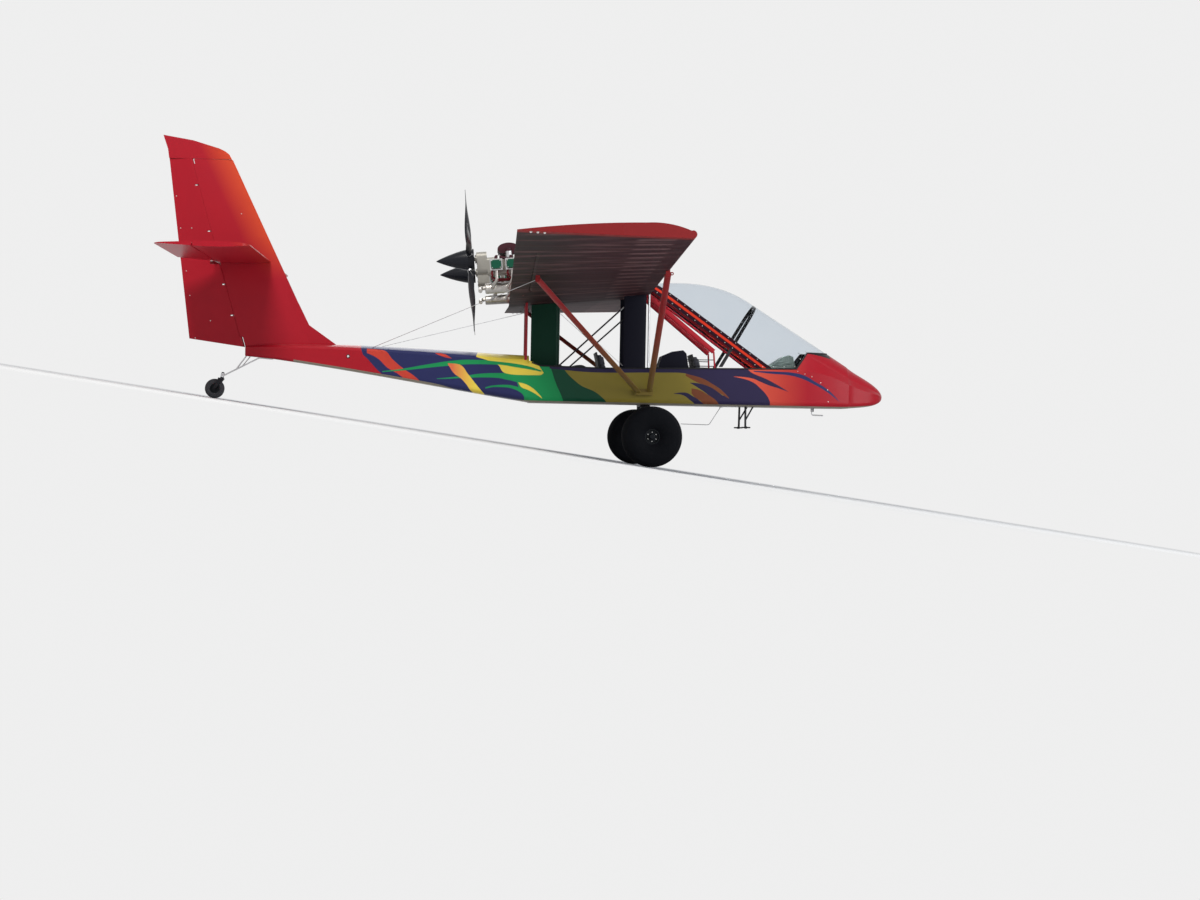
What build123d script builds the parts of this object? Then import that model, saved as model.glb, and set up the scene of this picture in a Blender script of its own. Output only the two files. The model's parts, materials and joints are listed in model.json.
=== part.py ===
"""Twin-pusher homebuilt light aircraft with an open tandem cockpit, in millimetres.

Everything is drawn in the level frame: +X towards the nose, +Y to the left, +Z up, with the
origin midway between the main wheels on their axle line. The last lines stand the finished
pieces on their three wheels, nose up, with the origin under the middle of the whole aircraft.
"""
import os
from math import asin, atan2, cos, degrees, hypot, radians, sin

from build123d import *

# Fits and gaps
FIT = 0.3
RUN_GAP = 6

# Wheels
MAIN_TYRE_R = 333
MAIN_TYRE_WIDTH = 216
MAIN_RIM_R = 82
MAIN_TRACK = 2420
AXLE_R = 16
TAIL_TYRE_R = 111
TAIL_TYRE_WIDTH = 64
TAIL_RIM_R = 52
TAIL_AXLE_R = 6
TAIL_WHEEL_X = -4893
TAIL_WHEEL_Z = 455
TOW_PIN_Y = 72

# Forward fuselage
WALL = 12
GLASS = 4
KNEE_X = -1330
TUB_FRONT_X = -110
BELLY_Z = 365
HALF_WIDTH = 330
CHINE_R = 62
DECK_CROWN_Z = 905
SILL_REAR_Z = 785
SILL_FRONT_Z = 810
SILL_FRONT_X = 1720
COWL_RIM_X = 1850
COWL_RIM_Z = 1000
NOSE_JOINT_X = 2080
CANOPY_AFT_X = 60
CANOPY_AFT_Z = 1661
GLASS_LAP_X = -80
CANOPY_FOOT_X = 1270

# Cross-sections of the hull, in one group for each smooth stretch: x, half width, bottom, belt,
# shoulder half width, shoulder, crown and chine radius
CANOPY_SECTIONS = (
    (TUB_FRONT_X, HALF_WIDTH, BELLY_Z, 785, 262, 1545, 1752, CHINE_R),
    (340, HALF_WIDTH, BELLY_Z, 792, 270, 1562, 1780, CHINE_R),
    (790, HALF_WIDTH, BELLY_Z, 798, 273, 1515, 1740, CHINE_R),
    (1222, HALF_WIDTH, BELLY_Z, 803, 272, 1335, 1557, CHINE_R),
)
COWL_SECTIONS = (
    CANOPY_SECTIONS[-1],
    (1600, 326, BELLY_Z, 800, 266, 1112, 1320, CHINE_R),
    (1968, 306, BELLY_Z, 765, 242, 905, 1090, CHINE_R),
    (2340, 255, BELLY_Z + 3, 640, 192, 712, 857, 60),
)
TIP_SECTIONS = (
    COWL_SECTIONS[-1],
    (2640, 158, 408, 548, 112, 588, 666, 44),
    (2742, 84, 455, 521, 58, 538, 578, 26),
    (2772, 14, 497, 511, 10, 514, 524, 8),
)
HULL_SECTIONS = (CANOPY_SECTIONS, COWL_SECTIONS, TIP_SECTIONS)

# Tail boom: x, half width, bottom, belt, shoulder half width, shoulder, crown and chine radius
BOOM_SECTIONS = (
    (KNEE_X, HALF_WIDTH, 372, 800, 300, 838, DECK_CROWN_Z, CHINE_R),
    (-2450, 222, 544, 880, 196, 912, 952, 48),
    (-3340, 150, 682, 920, 130, 948, 980, 34),
    (-4230, 98, 804, 938, 84, 954, 975, 24),
    (-4550, 62, 832, 932, 50, 942, 955, 16),
)

# Wing
HALF_SPAN_LE = 5070
HALF_SPAN_TE = 5550
CENTRE_HALF_SPAN = 1250
WING_LE_X = (55, 35)
WING_TE_X = -1570
WING_LE_Z = (1622, 1771)
WING_TE_Z = (1460, 1720)
WING_CREST = (190, 118)
HINGE_AHEAD_OF_TE = 200
AILERON_INNER = 1320
AILERON_OUTER = 4200
AILERON_NOSE_R = 17
STRUT_STATION = 2600
STRUT_CHORD = 68
STRUT_DEPTH = 28

# Tail
FIN_FOOT_Z = 940
FIN_TOP_Z = 3050
FIN_LE_FOOT_X = -3722
FIN_LE_TOP_X = -4731
DORSAL_X = -3510
RUDDER_AXIS_FOOT = (-4615, 1012)
RUDDER_AXIS_TOP = (-5200, 3043)
RUDDER_TE_FOOT_X = -5188
RUDDER_TE_TOP_X = -5445
FIN_THICK = (74, 50)
STAB_HALF_SPAN = 1990
STAB_LE_X = -4287
STAB_HINGE_X = -4900
STAB_TE_X = -5278
STAB_Z = 1908
STAB_THICK = 56
ELEVATOR_CUT = (215, 375)

# Engines and propellers
ENGINE_Y = 880
PROP_X = -2020
PROP_Z = 1910
THRUST_TILT = 4.8
PROP_R = 865
PROP_BLADES = 4
CRANK_DROP = 92
SPINNER_LENGTH = 415
SPINNER_R = 118
SHAFT_R = 22
NEAR_BLADE = -21
FAR_BLADE = 35

PARK_PITCH = degrees(
    asin((MAIN_TYRE_R - TAIL_TYRE_R) / hypot(TAIL_WHEEL_X, TAIL_WHEEL_Z))
    + atan2(TAIL_WHEEL_Z, -TAIL_WHEEL_X)
)


def across(x):
    """Plane square to the fuselage at x: its X is to the left and its Y is up."""
    return Plane(origin=(x, 0, 0), x_dir=(0, 1, 0), z_dir=(1, 0, 0))


def station(y):
    """Plane of a wing or tail rib at y: its X is forward and its Y is up."""
    return Plane(origin=(0, y, 0), x_dir=(1, 0, 0), z_dir=(0, -1, 0))


def level(z):
    """Plane of a fin rib at z: its X is forward and its Y is to the left."""
    return Plane(origin=(0, 0, z), x_dir=(1, 0, 0), z_dir=(0, 0, 1))


def between(pair, share):
    """Value a share of the way from the first of a pair to the second."""
    return pair[0] + (pair[1] - pair[0]) * share


def rod(start, end, radius, mode=Mode.ADD):
    """Round bar from start to end."""
    way = Vector(*end) - Vector(*start)
    with BuildSketch(Plane(origin=start, z_dir=way)) as bar:
        Circle(radius)
    return extrude(bar.sketch, amount=way.length, mode=mode)


def blade_bar(start, end, chord, depth, mode=Mode.ADD):
    """Streamlined bar from start to end, its chord lying fore and aft."""
    way = Vector(*end) - Vector(*start)
    with BuildSketch(Plane(origin=start, x_dir=(1, 0, 0), z_dir=way)) as bar:
        Ellipse(chord / 2, depth / 2)
    return extrude(bar.sketch, amount=way.length, mode=mode)


def block(low, high, mode=Mode.ADD):
    """Box from its lowest to its highest corner."""
    size = [b - a for a, b in zip(low, high)]
    middle = Vector(*[(a + b) / 2 for a, b in zip(low, high)])
    with Locations(middle):
        return Box(*size, mode=mode)


def side_prism(points, half, mode=Mode.ADD):
    """Prism of a side-view outline, given as x and z, reaching half to each side."""
    with BuildSketch(station(0)) as outline:
        with BuildLine():
            Polyline(*points, close=True)
        make_face()
    return extrude(outline.sketch, amount=half, both=True, mode=mode)


def hull_section(x, half, bottom, belt, shoulder_half, shoulder, crown, chine, inset=0):
    """Cross-section of the fuselage: flat sides, round chines and an arched top."""
    half -= inset
    shoulder_half -= inset
    bottom += inset
    crown -= inset
    chine = max(chine - inset, 3)
    flat = half - chine
    lift = chine * (1 - cos(radians(45)))
    with BuildSketch(across(x)) as section:
        with BuildLine():
            Line((-flat, bottom), (flat, bottom))
            ThreePointArc((flat, bottom), (half - lift, bottom + lift), (half, bottom + chine))
            Line((half, bottom + chine), (half, belt))
            Line((half, belt), (shoulder_half, shoulder))
            ThreePointArc((shoulder_half, shoulder), (0, crown), (-shoulder_half, shoulder))
            Line((-shoulder_half, shoulder), (-half, belt))
            Line((-half, belt), (-half, bottom + chine))
            ThreePointArc((-half, bottom + chine), (lift - half, bottom + lift), (-flat, bottom))
        make_face()
    return section.sketch


def hull_stretches(stretches, inset=0, mode=Mode.ADD):
    """Smooth stretches of the hull end to end, drawn inside the skin by inset."""
    for rows in stretches:
        loft(sections=[hull_section(*row, inset=inset) for row in rows], mode=mode)


def tub_stretch(inset=0, mode=Mode.ADD):
    """Straight stretch of the hull behind the canopy, back to the knee."""
    first = hull_section(*CANOPY_SECTIONS[0], inset=inset)
    extrude(first, amount=KNEE_X - TUB_FRONT_X, mode=mode)


# Outlines in side view that part the skin into nose, tub and glass
NOSE_JOINT = (
    (SILL_FRONT_X, SILL_FRONT_Z),
    (1800, 772),
    (1930, 722),
    (2030, 655),
    (NOSE_JOINT_X, 560),
    (NOSE_JOINT_X, 0),
)
GLASS_FOOT = (
    (CANOPY_FOOT_X, SILL_FRONT_Z - 8),
    (SILL_FRONT_X, SILL_FRONT_Z),
    (COWL_RIM_X, COWL_RIM_Z),
    (2400, COWL_RIM_Z),
)
TUB_TOP = (
    (KNEE_X, 838),
    (-1200, SILL_REAR_Z),
    (-500, 772),
    (CANOPY_FOOT_X, SILL_FRONT_Z - 8),
)
BIG = 3000

# Nose bowl: a shell that carries the windshield's front rim
with BuildPart() as nose_cone:
    hull_stretches(HULL_SECTIONS[1:])
    hull_stretches(HULL_SECTIONS[1:2], WALL, Mode.SUBTRACT)
    side_prism(NOSE_JOINT + ((BIG, 0), (BIG, COWL_RIM_Z)) + (GLASS_FOOT[2],), 2 * HALF_WIDTH,
               Mode.INTERSECT)
nose_cone.part.label = "nose_cone"

# Cockpit tub: floor and both sides of the open cockpit as one folded skin
with BuildPart() as cockpit_tub:
    hull_stretches(HULL_SECTIONS[:2])
    tub_stretch()
    hull_stretches(HULL_SECTIONS[:2], WALL, Mode.SUBTRACT)
    tub_stretch(WALL, Mode.SUBTRACT)
    side_prism(((KNEE_X, 0),) + TUB_TOP + NOSE_JOINT, 2 * HALF_WIDTH, Mode.INTERSECT)
cockpit_tub.part.label = "cockpit_tub"

# Hoop inside the windshield, leaning back as it comes down to the sills
HOOP_TOP_X = 1262
HOOP_FOOT_X = 826
HOOP_WIDTH = 44
HOOP_THICK = 14
with BuildPart() as windshield_hoop:
    hull_stretches(HULL_SECTIONS[:2], GLASS + FIT)
    hull_stretches(HULL_SECTIONS[:2], GLASS + FIT + HOOP_THICK, Mode.SUBTRACT)
    side_prism(((HOOP_FOOT_X, SILL_FRONT_Z), (HOOP_TOP_X, 1560),
                (HOOP_TOP_X + HOOP_WIDTH, 1560), (HOOP_FOOT_X + HOOP_WIDTH, SILL_FRONT_Z)),
               2 * HALF_WIDTH, Mode.INTERSECT)
windshield_hoop.part.label = "windshield_hoop"

finished = [nose_cone.part, cockpit_tub.part, windshield_hoop.part]
SIDES = ((1, "left"), (-1, "right"))

# Tail boom: closed, seated behind the tub
with BuildPart() as tail_boom:
    loft(sections=[hull_section(*row) for row in BOOM_SECTIONS[:4]])
    loft(sections=[hull_section(*row) for row in BOOM_SECTIONS[3:]])
tail_boom.part.label = "tail_boom"
finished.append(tail_boom.part)


# Wing
def wing_point(y, share, height):
    """Point of the wing's section at y: share of the chord from the nose, height of the crest."""
    out = abs(y) / HALF_SPAN_LE
    nose = (between(WING_LE_X, out), between(WING_LE_Z, out))
    tail = (WING_TE_X, between(WING_TE_Z, out))
    run = (tail[0] - nose[0], tail[1] - nose[1])
    chord = hypot(*run)
    rise = height * between(WING_CREST, out)
    return (nose[0] + share * run[0] + rise * run[1] / chord,
            nose[1] + share * run[1] - rise * run[0] / chord)


# Share of the chord and share of the crest height at the bends of the wing's section
NOSE_LOW = (0.02, -0.06)
NOSE_TIP = (0.0, 0.16)
NOSE_HIGH = (0.03, 0.50)
FRONT_CREST = (0.12, 0.87)
CREST = (0.28, 1.0)
REAR_TOP = (0.62, 0.72)
TAIL_TOP = (1.0, 0.05)
TAIL_LOW = (1.0, 0.0)


def wing_rib(y):
    """Aerofoil section of the wing at y."""
    low, tip, high, front, crest, rear, top, end = [
        wing_point(y, *bend) for bend in
        (NOSE_LOW, NOSE_TIP, NOSE_HIGH, FRONT_CREST, CREST, REAR_TOP, TAIL_TOP, TAIL_LOW)
    ]
    with BuildSketch(station(y)) as rib:
        with BuildLine():
            ThreePointArc(low, tip, high)
            ThreePointArc(high, front, crest)
            ThreePointArc(crest, rear, top)
            Line(top, end)
            Line(end, low)
        make_face()
    return rib.sketch


def underside(x, y):
    """Height of the wing's lower surface at x and y."""
    front = wing_point(y, *NOSE_LOW)
    rear = wing_point(y, *TAIL_LOW)
    return front[1] + (rear[1] - front[1]) * (x - front[0]) / (rear[0] - front[0])


def hinge_point(y, ahead=HINGE_AHEAD_OF_TE):
    """Point of the aileron's hinge line at y, halfway through the wing's thickness."""
    x, z = wing_point(y, 1 - ahead / (WING_LE_X[0] - WING_TE_X), 0.15)
    return (x, y, z)


HINGE_PIN_R = 4
HINGE_PIN_HALF = 22
HINGE_ARM = 8
HINGE_SLOT = 14


def hinge_arms(points, way, reach, upright=False):
    """Arms that reach aft from a fixed surface to the pins of a hinge line."""
    for x, y, z in points:
        wide, tall = (9, HINGE_ARM / 2) if upright else (HINGE_ARM / 2, 9)
        block((x - 8, y - wide, z - tall), (x + reach, y + wide, z + tall))
        middle = Vector(x, y, z)
        rod(middle - way * HINGE_PIN_HALF, middle + way * HINGE_PIN_HALF, HINGE_PIN_R)


def hinge_slots(points, way, reach, upright=False):
    """Slots and pin bores in a moving surface for the arms of its hinge line."""
    for x, y, z in points:
        wide, tall = (60, HINGE_SLOT / 2) if upright else (HINGE_SLOT / 2, 60)
        block((x - 34, y - wide, z - tall), (x + reach, y + wide, z + tall), Mode.SUBTRACT)
        middle = Vector(x, y, z)
        half = HINGE_PIN_HALF + 2
        rod(middle - way * half, middle + way * half, HINGE_PIN_R + FIT, Mode.SUBTRACT)


with BuildPart() as wing_centre:
    for side, word in SIDES:
        loft(sections=[wing_rib(0), wing_rib(side * CENTRE_HALF_SPAN)], ruled=True)
wing_centre.part.label = "wing_centre"
finished.append(wing_centre.part)

# Windshield: one blown sheet that laps the wing's nose and comes down to the sills and the nose
with BuildPart() as windshield:
    hull_stretches(HULL_SECTIONS[:2])
    hull_stretches(HULL_SECTIONS[:2], GLASS, Mode.SUBTRACT)
    side_prism(((GLASS_LAP_X, 2000), (GLASS_LAP_X, CANOPY_AFT_Z), (CANOPY_AFT_X, CANOPY_AFT_Z))
               + GLASS_FOOT + ((2400, 2000),), 2 * HALF_WIDTH, Mode.INTERSECT)
    add(wing_centre.part, mode=Mode.SUBTRACT)
windshield.part.label = "windshield"
finished.append(windshield.part)

AILERON_CUT = 36
AILERON_HINGES = (1620, 2760, 3900)
wings = {}
for side, word in SIDES:
    inner = hinge_point(side * AILERON_INNER)
    outer = hinge_point(side * AILERON_OUTER)
    hinge_way = (Vector(*outer) - Vector(*inner)).normalized()
    hinges = [hinge_point(side * y) for y in AILERON_HINGES]
    spans = sorted((side * (AILERON_INNER - RUN_GAP), side * (AILERON_OUTER + RUN_GAP)))
    bay = sorted((side * AILERON_INNER, side * AILERON_OUTER))
    cut_x = inner[0] + AILERON_CUT
    with BuildPart() as wing:
        loft(sections=[wing_rib(side * CENTRE_HALF_SPAN), wing_rib(side * HALF_SPAN_TE)], ruled=True)
        with BuildSketch(Plane.XY.offset(1000)) as rake:
            with BuildLine():
                Polyline((300, side * CENTRE_HALF_SPAN), (300, side * (HALF_SPAN_LE - 79)),
                         (WING_LE_X[1], side * HALF_SPAN_LE), (WING_TE_X, side * HALF_SPAN_TE),
                         (-2000, side * HALF_SPAN_TE), (-2000, side * CENTRE_HALF_SPAN), close=True)
            make_face()
        extrude(rake.sketch, amount=1500, mode=Mode.INTERSECT)
        block((-2000, spans[0], 1000), (cut_x, spans[1], 2400), Mode.SUBTRACT)
        hinge_arms(hinges, hinge_way, AILERON_CUT + 6)
    wing.part.label = f"wing_{word}"
    wings[word] = wing.part
    with BuildPart() as aileron:
        loft(sections=[wing_rib(side * AILERON_INNER), wing_rib(side * AILERON_OUTER)], ruled=True)
        block((-2000, bay[0], 1000), (inner[0] - 4, bay[1], 2400), Mode.INTERSECT)
        rod(inner, outer, AILERON_NOSE_R)
        hinge_slots(hinges, hinge_way, AILERON_CUT + 6)
    aileron.part.label = f"aileron_{word}"
    finished += [wing.part, aileron.part]

# Lift struts: a streamlined V on each side, with a dark lug under the wing at each top end
STRUT_FEET = ((34, 372, 512), (-87, 372, 500))
STRUT_TOP_X = (12, -1310)
LUG_DEPTH = 46
TIE_DOWN_R = 8
for side, word in SIDES:
    with BuildPart() as lift_struts:
        for foot, top_x in zip(STRUT_FEET, STRUT_TOP_X):
            top_z = underside(top_x, STRUT_STATION)
            top = (top_x, side * STRUT_STATION, top_z - LUG_DEPTH + 8)
            blade_bar((foot[0], side * foot[1], foot[2]), top, STRUT_CHORD, STRUT_DEPTH)
            block((top_x - 22, side * STRUT_STATION - 9, top_z - LUG_DEPTH - 20),
                  (top_x + 22, side * STRUT_STATION + 9, top_z + 12))
        ring = (STRUT_TOP_X[0] + 42, side * STRUT_STATION, underside(STRUT_TOP_X[0], STRUT_STATION) - 28)
        half = Vector(0, 9, 0)
        rod(Vector(*ring) - half, Vector(*ring) + half, 17)
        block((STRUT_TOP_X[0] + 20, ring[1] - 9, ring[2] - 17), (ring[0], ring[1] + 9, ring[2] + 17))
        rod(Vector(*ring) - half * 2, Vector(*ring) + half * 2, TIE_DOWN_R, Mode.SUBTRACT)
        plate = sorted((side * HALF_WIDTH, side * 386))
        block((-125, plate[0], 470), (75, plate[1], 540))
        add(wing_centre.part, mode=Mode.SUBTRACT)
        add(wings[word], mode=Mode.SUBTRACT)
    lift_struts.part.label = f"lift_struts_{word}"
    finished.append(lift_struts.part)

# Cabane: round tubes that carry the wing's middle, and a long brace on each side
CABANE_Y = 298
with BuildPart() as cabane_tubes:
    for side, word in SIDES:
        rod((22, side * CABANE_Y, 560), (22, side * CABANE_Y, 1660), 12)
        rod((-1370, side * (CABANE_Y - 20), 800), (-1370, side * (CABANE_Y - 20), 1505), 16)
        rod((-1000, side * (CABANE_Y - 34), 780), (-40, side * (CABANE_Y - 34), 1680), 9)
        block((-1040, side * (CABANE_Y - 13) - 33, 740), (-960, side * (CABANE_Y - 13) + 33, 792))
        block((0, side * (CABANE_Y + 10) - 10, 540), (44, side * (CABANE_Y + 10) + 10, 640))
    add(wing_centre.part, mode=Mode.SUBTRACT)
    add(tail_boom.part, mode=Mode.SUBTRACT)
    add(cockpit_tub.part, mode=Mode.SUBTRACT)
cabane_tubes.part.label = "cabane_tubes"
finished.append(cabane_tubes.part)

# Streamlined fairings round the forward cabane legs, and the pylon behind the rear seat
FAIRING_X = (-265, -10)
FAIRING_Y = 300
for side, word in SIDES:
    with BuildPart() as cabane_fairing:
        middle = (FAIRING_X[0] + FAIRING_X[1]) / 2
        blade_bar((middle, side * FAIRING_Y, SILL_REAR_Z - 60), (middle, side * FAIRING_Y, 1700),
                  FAIRING_X[1] - FAIRING_X[0], 34)
        add(wing_centre.part, mode=Mode.SUBTRACT)
    cabane_fairing.part.label = f"cabane_fairing_{word}"
    finished.append(cabane_fairing.part)

PYLON_X = (-1310, -980)
with BuildPart() as rear_pylon:
    with BuildSketch(Plane.XY.offset(BELLY_Z + WALL + 8)) as plan:
        with BuildLine():
            nose_x = PYLON_X[1]
            ThreePointArc((nose_x - 40, -58), (nose_x, 0), (nose_x - 40, 58))
            Line((nose_x - 40, 58), (PYLON_X[0], 30))
            Line((PYLON_X[0], 30), (PYLON_X[0], -30))
            Line((PYLON_X[0], -30), (nose_x - 40, -58))
        make_face()
    extrude(plan.sketch, amount=1155)
    add(wing_centre.part, mode=Mode.SUBTRACT)
    add(tail_boom.part, mode=Mode.SUBTRACT)
rear_pylon.part.label = "rear_pylon"
finished.append(rear_pylon.part)

# Frame along the windshield's aft edge: an upper tube and a wider lower member on each side
with BuildPart() as windshield_frame:
    for side, word in SIDES:
        rod((1262, side * 303, 802), (40, side * 168, 1670), 14)
        low_end = (772, side * 268, 985)
        blade_bar(low_end, (-20, side * 224, 1632), 58, 26)
        rod(low_end, (792, side * 296, 700), 10)
        block((760, side * 302 - 15, 690), (824, side * 302 + 15, 760))
    for shape in (cockpit_tub.part, wing_centre.part, windshield.part):
        add(shape, mode=Mode.SUBTRACT)
windshield_frame.part.label = "windshield_frame"
finished.append(windshield_frame.part)

# Fin, with its dorsal fillet, seated on the boom
RUDDER_LEAN = (RUDDER_AXIS_TOP[0] - RUDDER_AXIS_FOOT[0]) / (RUDDER_AXIS_TOP[1] - RUDDER_AXIS_FOOT[1])
RUDDER_THICK = (66, 46)


def rudder_axis_x(z):
    """Place of the rudder's hinge line at the height z."""
    return RUDDER_AXIS_FOOT[0] + RUDDER_LEAN * (z - RUDDER_AXIS_FOOT[1])


def fin_rib(z):
    """Section of the fin at z, from its rounded nose to the flat face ahead of the rudder."""
    up = (z - FIN_FOOT_Z) / (FIN_TOP_Z - FIN_FOOT_Z)
    nose = between((FIN_LE_FOOT_X, FIN_LE_TOP_X), up)
    half = between(FIN_THICK, up) / 2
    aft = rudder_axis_x(z) + between(RUDDER_THICK, up) / 2 + 9
    with BuildSketch(level(z)) as rib:
        with BuildLine():
            ThreePointArc((nose - 14, -9), (nose, 0), (nose - 14, 9))
            ThreePointArc((nose - 14, 9), (between((nose, aft), 0.5), half * 0.92), (aft, half))
            Line((aft, half), (aft, -half))
            ThreePointArc((aft, -half), (between((nose, aft), 0.5), -half * 0.92), (nose - 14, -9))
        make_face()
    return rib.sketch


def tail_foil(plane, nose, aft, half):
    """Section of a fixed tail surface: rounded nose and a flat aft face."""
    middle = between((nose, aft), 0.45)
    with BuildSketch(plane) as rib:
        with BuildLine():
            ThreePointArc((nose - 12, STAB_Z - 9), (nose, STAB_Z), (nose - 12, STAB_Z + 9))
            ThreePointArc((nose - 12, STAB_Z + 9), (middle, STAB_Z + half), (aft, STAB_Z + half * 0.86))
            Line((aft, STAB_Z + half * 0.86), (aft, STAB_Z - half * 0.86))
            ThreePointArc((aft, STAB_Z - half * 0.86), (middle, STAB_Z - half), (nose - 12, STAB_Z - 9))
        make_face()
    return rib.sketch


ELEVATOR_NOSE_R = 22
STAB_AFT_X = STAB_HINGE_X + ELEVATOR_NOSE_R + 9
ELEVATOR_HINGES = (-1380, -470, 470, 1380)
TUBE_R = 13
sideways = Vector(0, 1, 0)
elevator_hinges = [(STAB_HINGE_X, y, STAB_Z) for y in ELEVATOR_HINGES]

# Stabiliser: one piece that passes through the fin
with BuildPart() as stabiliser:
    foil = tail_foil(station(0), STAB_LE_X, STAB_AFT_X, STAB_THICK / 2)
    extrude(foil, amount=STAB_HALF_SPAN, both=True)
    with BuildSketch(Plane.XY.offset(STAB_Z - 200)) as plan:
        with Locations(((STAB_LE_X + STAB_TE_X) / 2, 0)):
            RectangleRounded(STAB_LE_X - STAB_TE_X, 2 * STAB_HALF_SPAN, 120)
    extrude(plan.sketch, amount=400, mode=Mode.INTERSECT)
    hinge_arms(elevator_hinges, sideways, ELEVATOR_NOSE_R + 9)
stabiliser.part.label = "stabiliser"

# Elevator: both halves on one torque tube behind the fin
with BuildPart() as elevator:
    for side, word in SIDES:
        with BuildSketch(station(0)) as wedge:
            with BuildLine():
                up, down = STAB_Z + ELEVATOR_NOSE_R, STAB_Z - ELEVATOR_NOSE_R
                ThreePointArc((STAB_HINGE_X, down), (STAB_HINGE_X + ELEVATOR_NOSE_R, STAB_Z),
                              (STAB_HINGE_X, up))
                Line((STAB_HINGE_X, up), (STAB_TE_X, STAB_Z + 3))
                Line((STAB_TE_X, STAB_Z + 3), (STAB_TE_X, STAB_Z - 3))
                Line((STAB_TE_X, STAB_Z - 3), (STAB_HINGE_X, down))
            make_face()
        extrude(wedge.sketch, amount=-side * STAB_HALF_SPAN)
    for side, word in SIDES:
        with BuildSketch(Plane.XY.offset(STAB_Z - 200)) as gap:
            with BuildLine():
                front, back = STAB_HINGE_X + 60, STAB_TE_X - 20
                Polyline((front, 0), (front, side * ELEVATOR_CUT[0]),
                         (STAB_HINGE_X, side * ELEVATOR_CUT[0]), (back, side * ELEVATOR_CUT[1]),
                         (back, 0), close=True)
            make_face()
        extrude(gap.sketch, amount=400, mode=Mode.SUBTRACT)
    with BuildSketch(Plane.XY.offset(STAB_Z - 200)) as plan:
        with Locations(((STAB_LE_X + STAB_TE_X) / 2, 0)):
            RectangleRounded(STAB_LE_X - STAB_TE_X, 2 * STAB_HALF_SPAN, 120)
    extrude(plan.sketch, amount=400, mode=Mode.INTERSECT)
    rod((STAB_HINGE_X, -ELEVATOR_CUT[0] - 20, STAB_Z), (STAB_HINGE_X, ELEVATOR_CUT[0] + 20, STAB_Z),
        TUBE_R)
    hinge_slots(elevator_hinges, sideways, ELEVATOR_NOSE_R + 9)
elevator.part.label = "elevator"

RUDDER_HINGES = (1290, 1640, 2240, 2760)
rudder_way = Vector(RUDDER_LEAN, 0, 1).normalized()
rudder_hinges = [(rudder_axis_x(z), 0, z) for z in RUDDER_HINGES]
with BuildPart() as fin:
    loft(sections=[fin_rib(FIN_FOOT_Z), fin_rib(FIN_TOP_Z)], ruled=True)
    side_prism(((DORSAL_X, 970), (-3840, 1200), (-3960, 1440), (-4080, 1600), (-4080, 940),
                (DORSAL_X, 940)), 15)
    hinge_arms(rudder_hinges, rudder_way, 60, upright=True)
    add(stabiliser.part, mode=Mode.SUBTRACT)
    add(tail_boom.part, mode=Mode.SUBTRACT)
fin.part.label = "fin"


def rudder_rib(z):
    """Section of the rudder at z: round nose on the hinge line, then a wedge."""
    up = (z - FIN_FOOT_Z) / (FIN_TOP_Z - FIN_FOOT_Z)
    half = between(RUDDER_THICK, up) / 2
    axis = rudder_axis_x(z)
    aft = between((RUDDER_TE_FOOT_X, RUDDER_TE_TOP_X), (z - 1017) / (FIN_TOP_Z - 1017))
    with BuildSketch(level(z)) as rib:
        with BuildLine():
            ThreePointArc((axis, -half), (axis + half, 0), (axis, half))
            Line((axis, half), (aft, 3))
            Line((aft, 3), (aft, -3))
            Line((aft, -3), (axis, -half))
        make_face()
    return rib.sketch


HORN_GAP = 8
HORN_HALF = 21
NOTCH_HALF = STAB_THICK / 2 + 14
with BuildPart() as rudder:
    loft(sections=[rudder_rib(930), rudder_rib(FIN_TOP_Z + HORN_GAP)], ruled=True)
    side_prism(((-4400, 915), (-4600, 938), (-5188, 1017), (-5700, 1017), (-5700, 3300),
                (-4400, 3300)), 200, Mode.INTERSECT)
    side_prism(((-4741, FIN_TOP_Z + HORN_GAP), (-4772, 3115), (-4820, 3150), (-4885, 3180),
                (-5180, 3265), (-5516, 3318), (-5462, 3160), (-5448, FIN_TOP_Z + HORN_GAP)),
               HORN_HALF)
    axis_x = rudder_axis_x(STAB_Z)
    block((axis_x - 96, -60, STAB_Z - NOTCH_HALF), (axis_x + 80, 60, STAB_Z + NOTCH_HALF),
          Mode.SUBTRACT)
    hinge_slots(rudder_hinges, rudder_way, 60, upright=True)
rudder.part.label = "rudder"
finished += [stabiliser.part, elevator.part, fin.part, rudder.part]

# Stay wires from the boom to the tops of the rear lift struts
with BuildPart() as tail_stays:
    for side, word in SIDES:
        top_z = underside(STRUT_TOP_X[1], STRUT_STATION) - LUG_DEPTH
        rod((-3150, side * 60, 940), (STRUT_TOP_X[1] - 20, side * (STRUT_STATION - 14), top_z), 3)
    add(tail_boom.part, mode=Mode.SUBTRACT)
    for part in finished:
        if part.label.startswith("lift_struts"):
            add(part, mode=Mode.SUBTRACT)
tail_stays.part.label = "tail_stays"
finished.append(tail_stays.part)

# Main gear: one sprung leaf under the belly with a stub axle at each end
LEAF_Z = BELLY_Z - 10
with BuildPart() as main_gear:
    block((-58, -240, BELLY_Z - 20), (58, 240, BELLY_Z))
    for side, word in SIDES:
        leaf = []
        for y, z, chord, thick in ((236, LEAF_Z, 108, 20), (MAIN_TRACK / 2 - 140, 4, 54, 15)):
            with BuildSketch(station(side * y)) as slice:
                with Locations((0, z)):
                    RectangleRounded(chord, thick, thick * 0.4)
            leaf.append(slice.sketch)
        loft(sections=leaf, ruled=True)
        rod((0, side * (MAIN_TRACK / 2 - 150), 0), (0, side * (MAIN_TRACK / 2 + 52), 0), AXLE_R)
        rod((0, side * (MAIN_TRACK / 2 - 146), 0), (0, side * (MAIN_TRACK / 2 - 116), 0), 44)
main_gear.part.label = "main_gear"
finished.append(main_gear.part)


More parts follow.
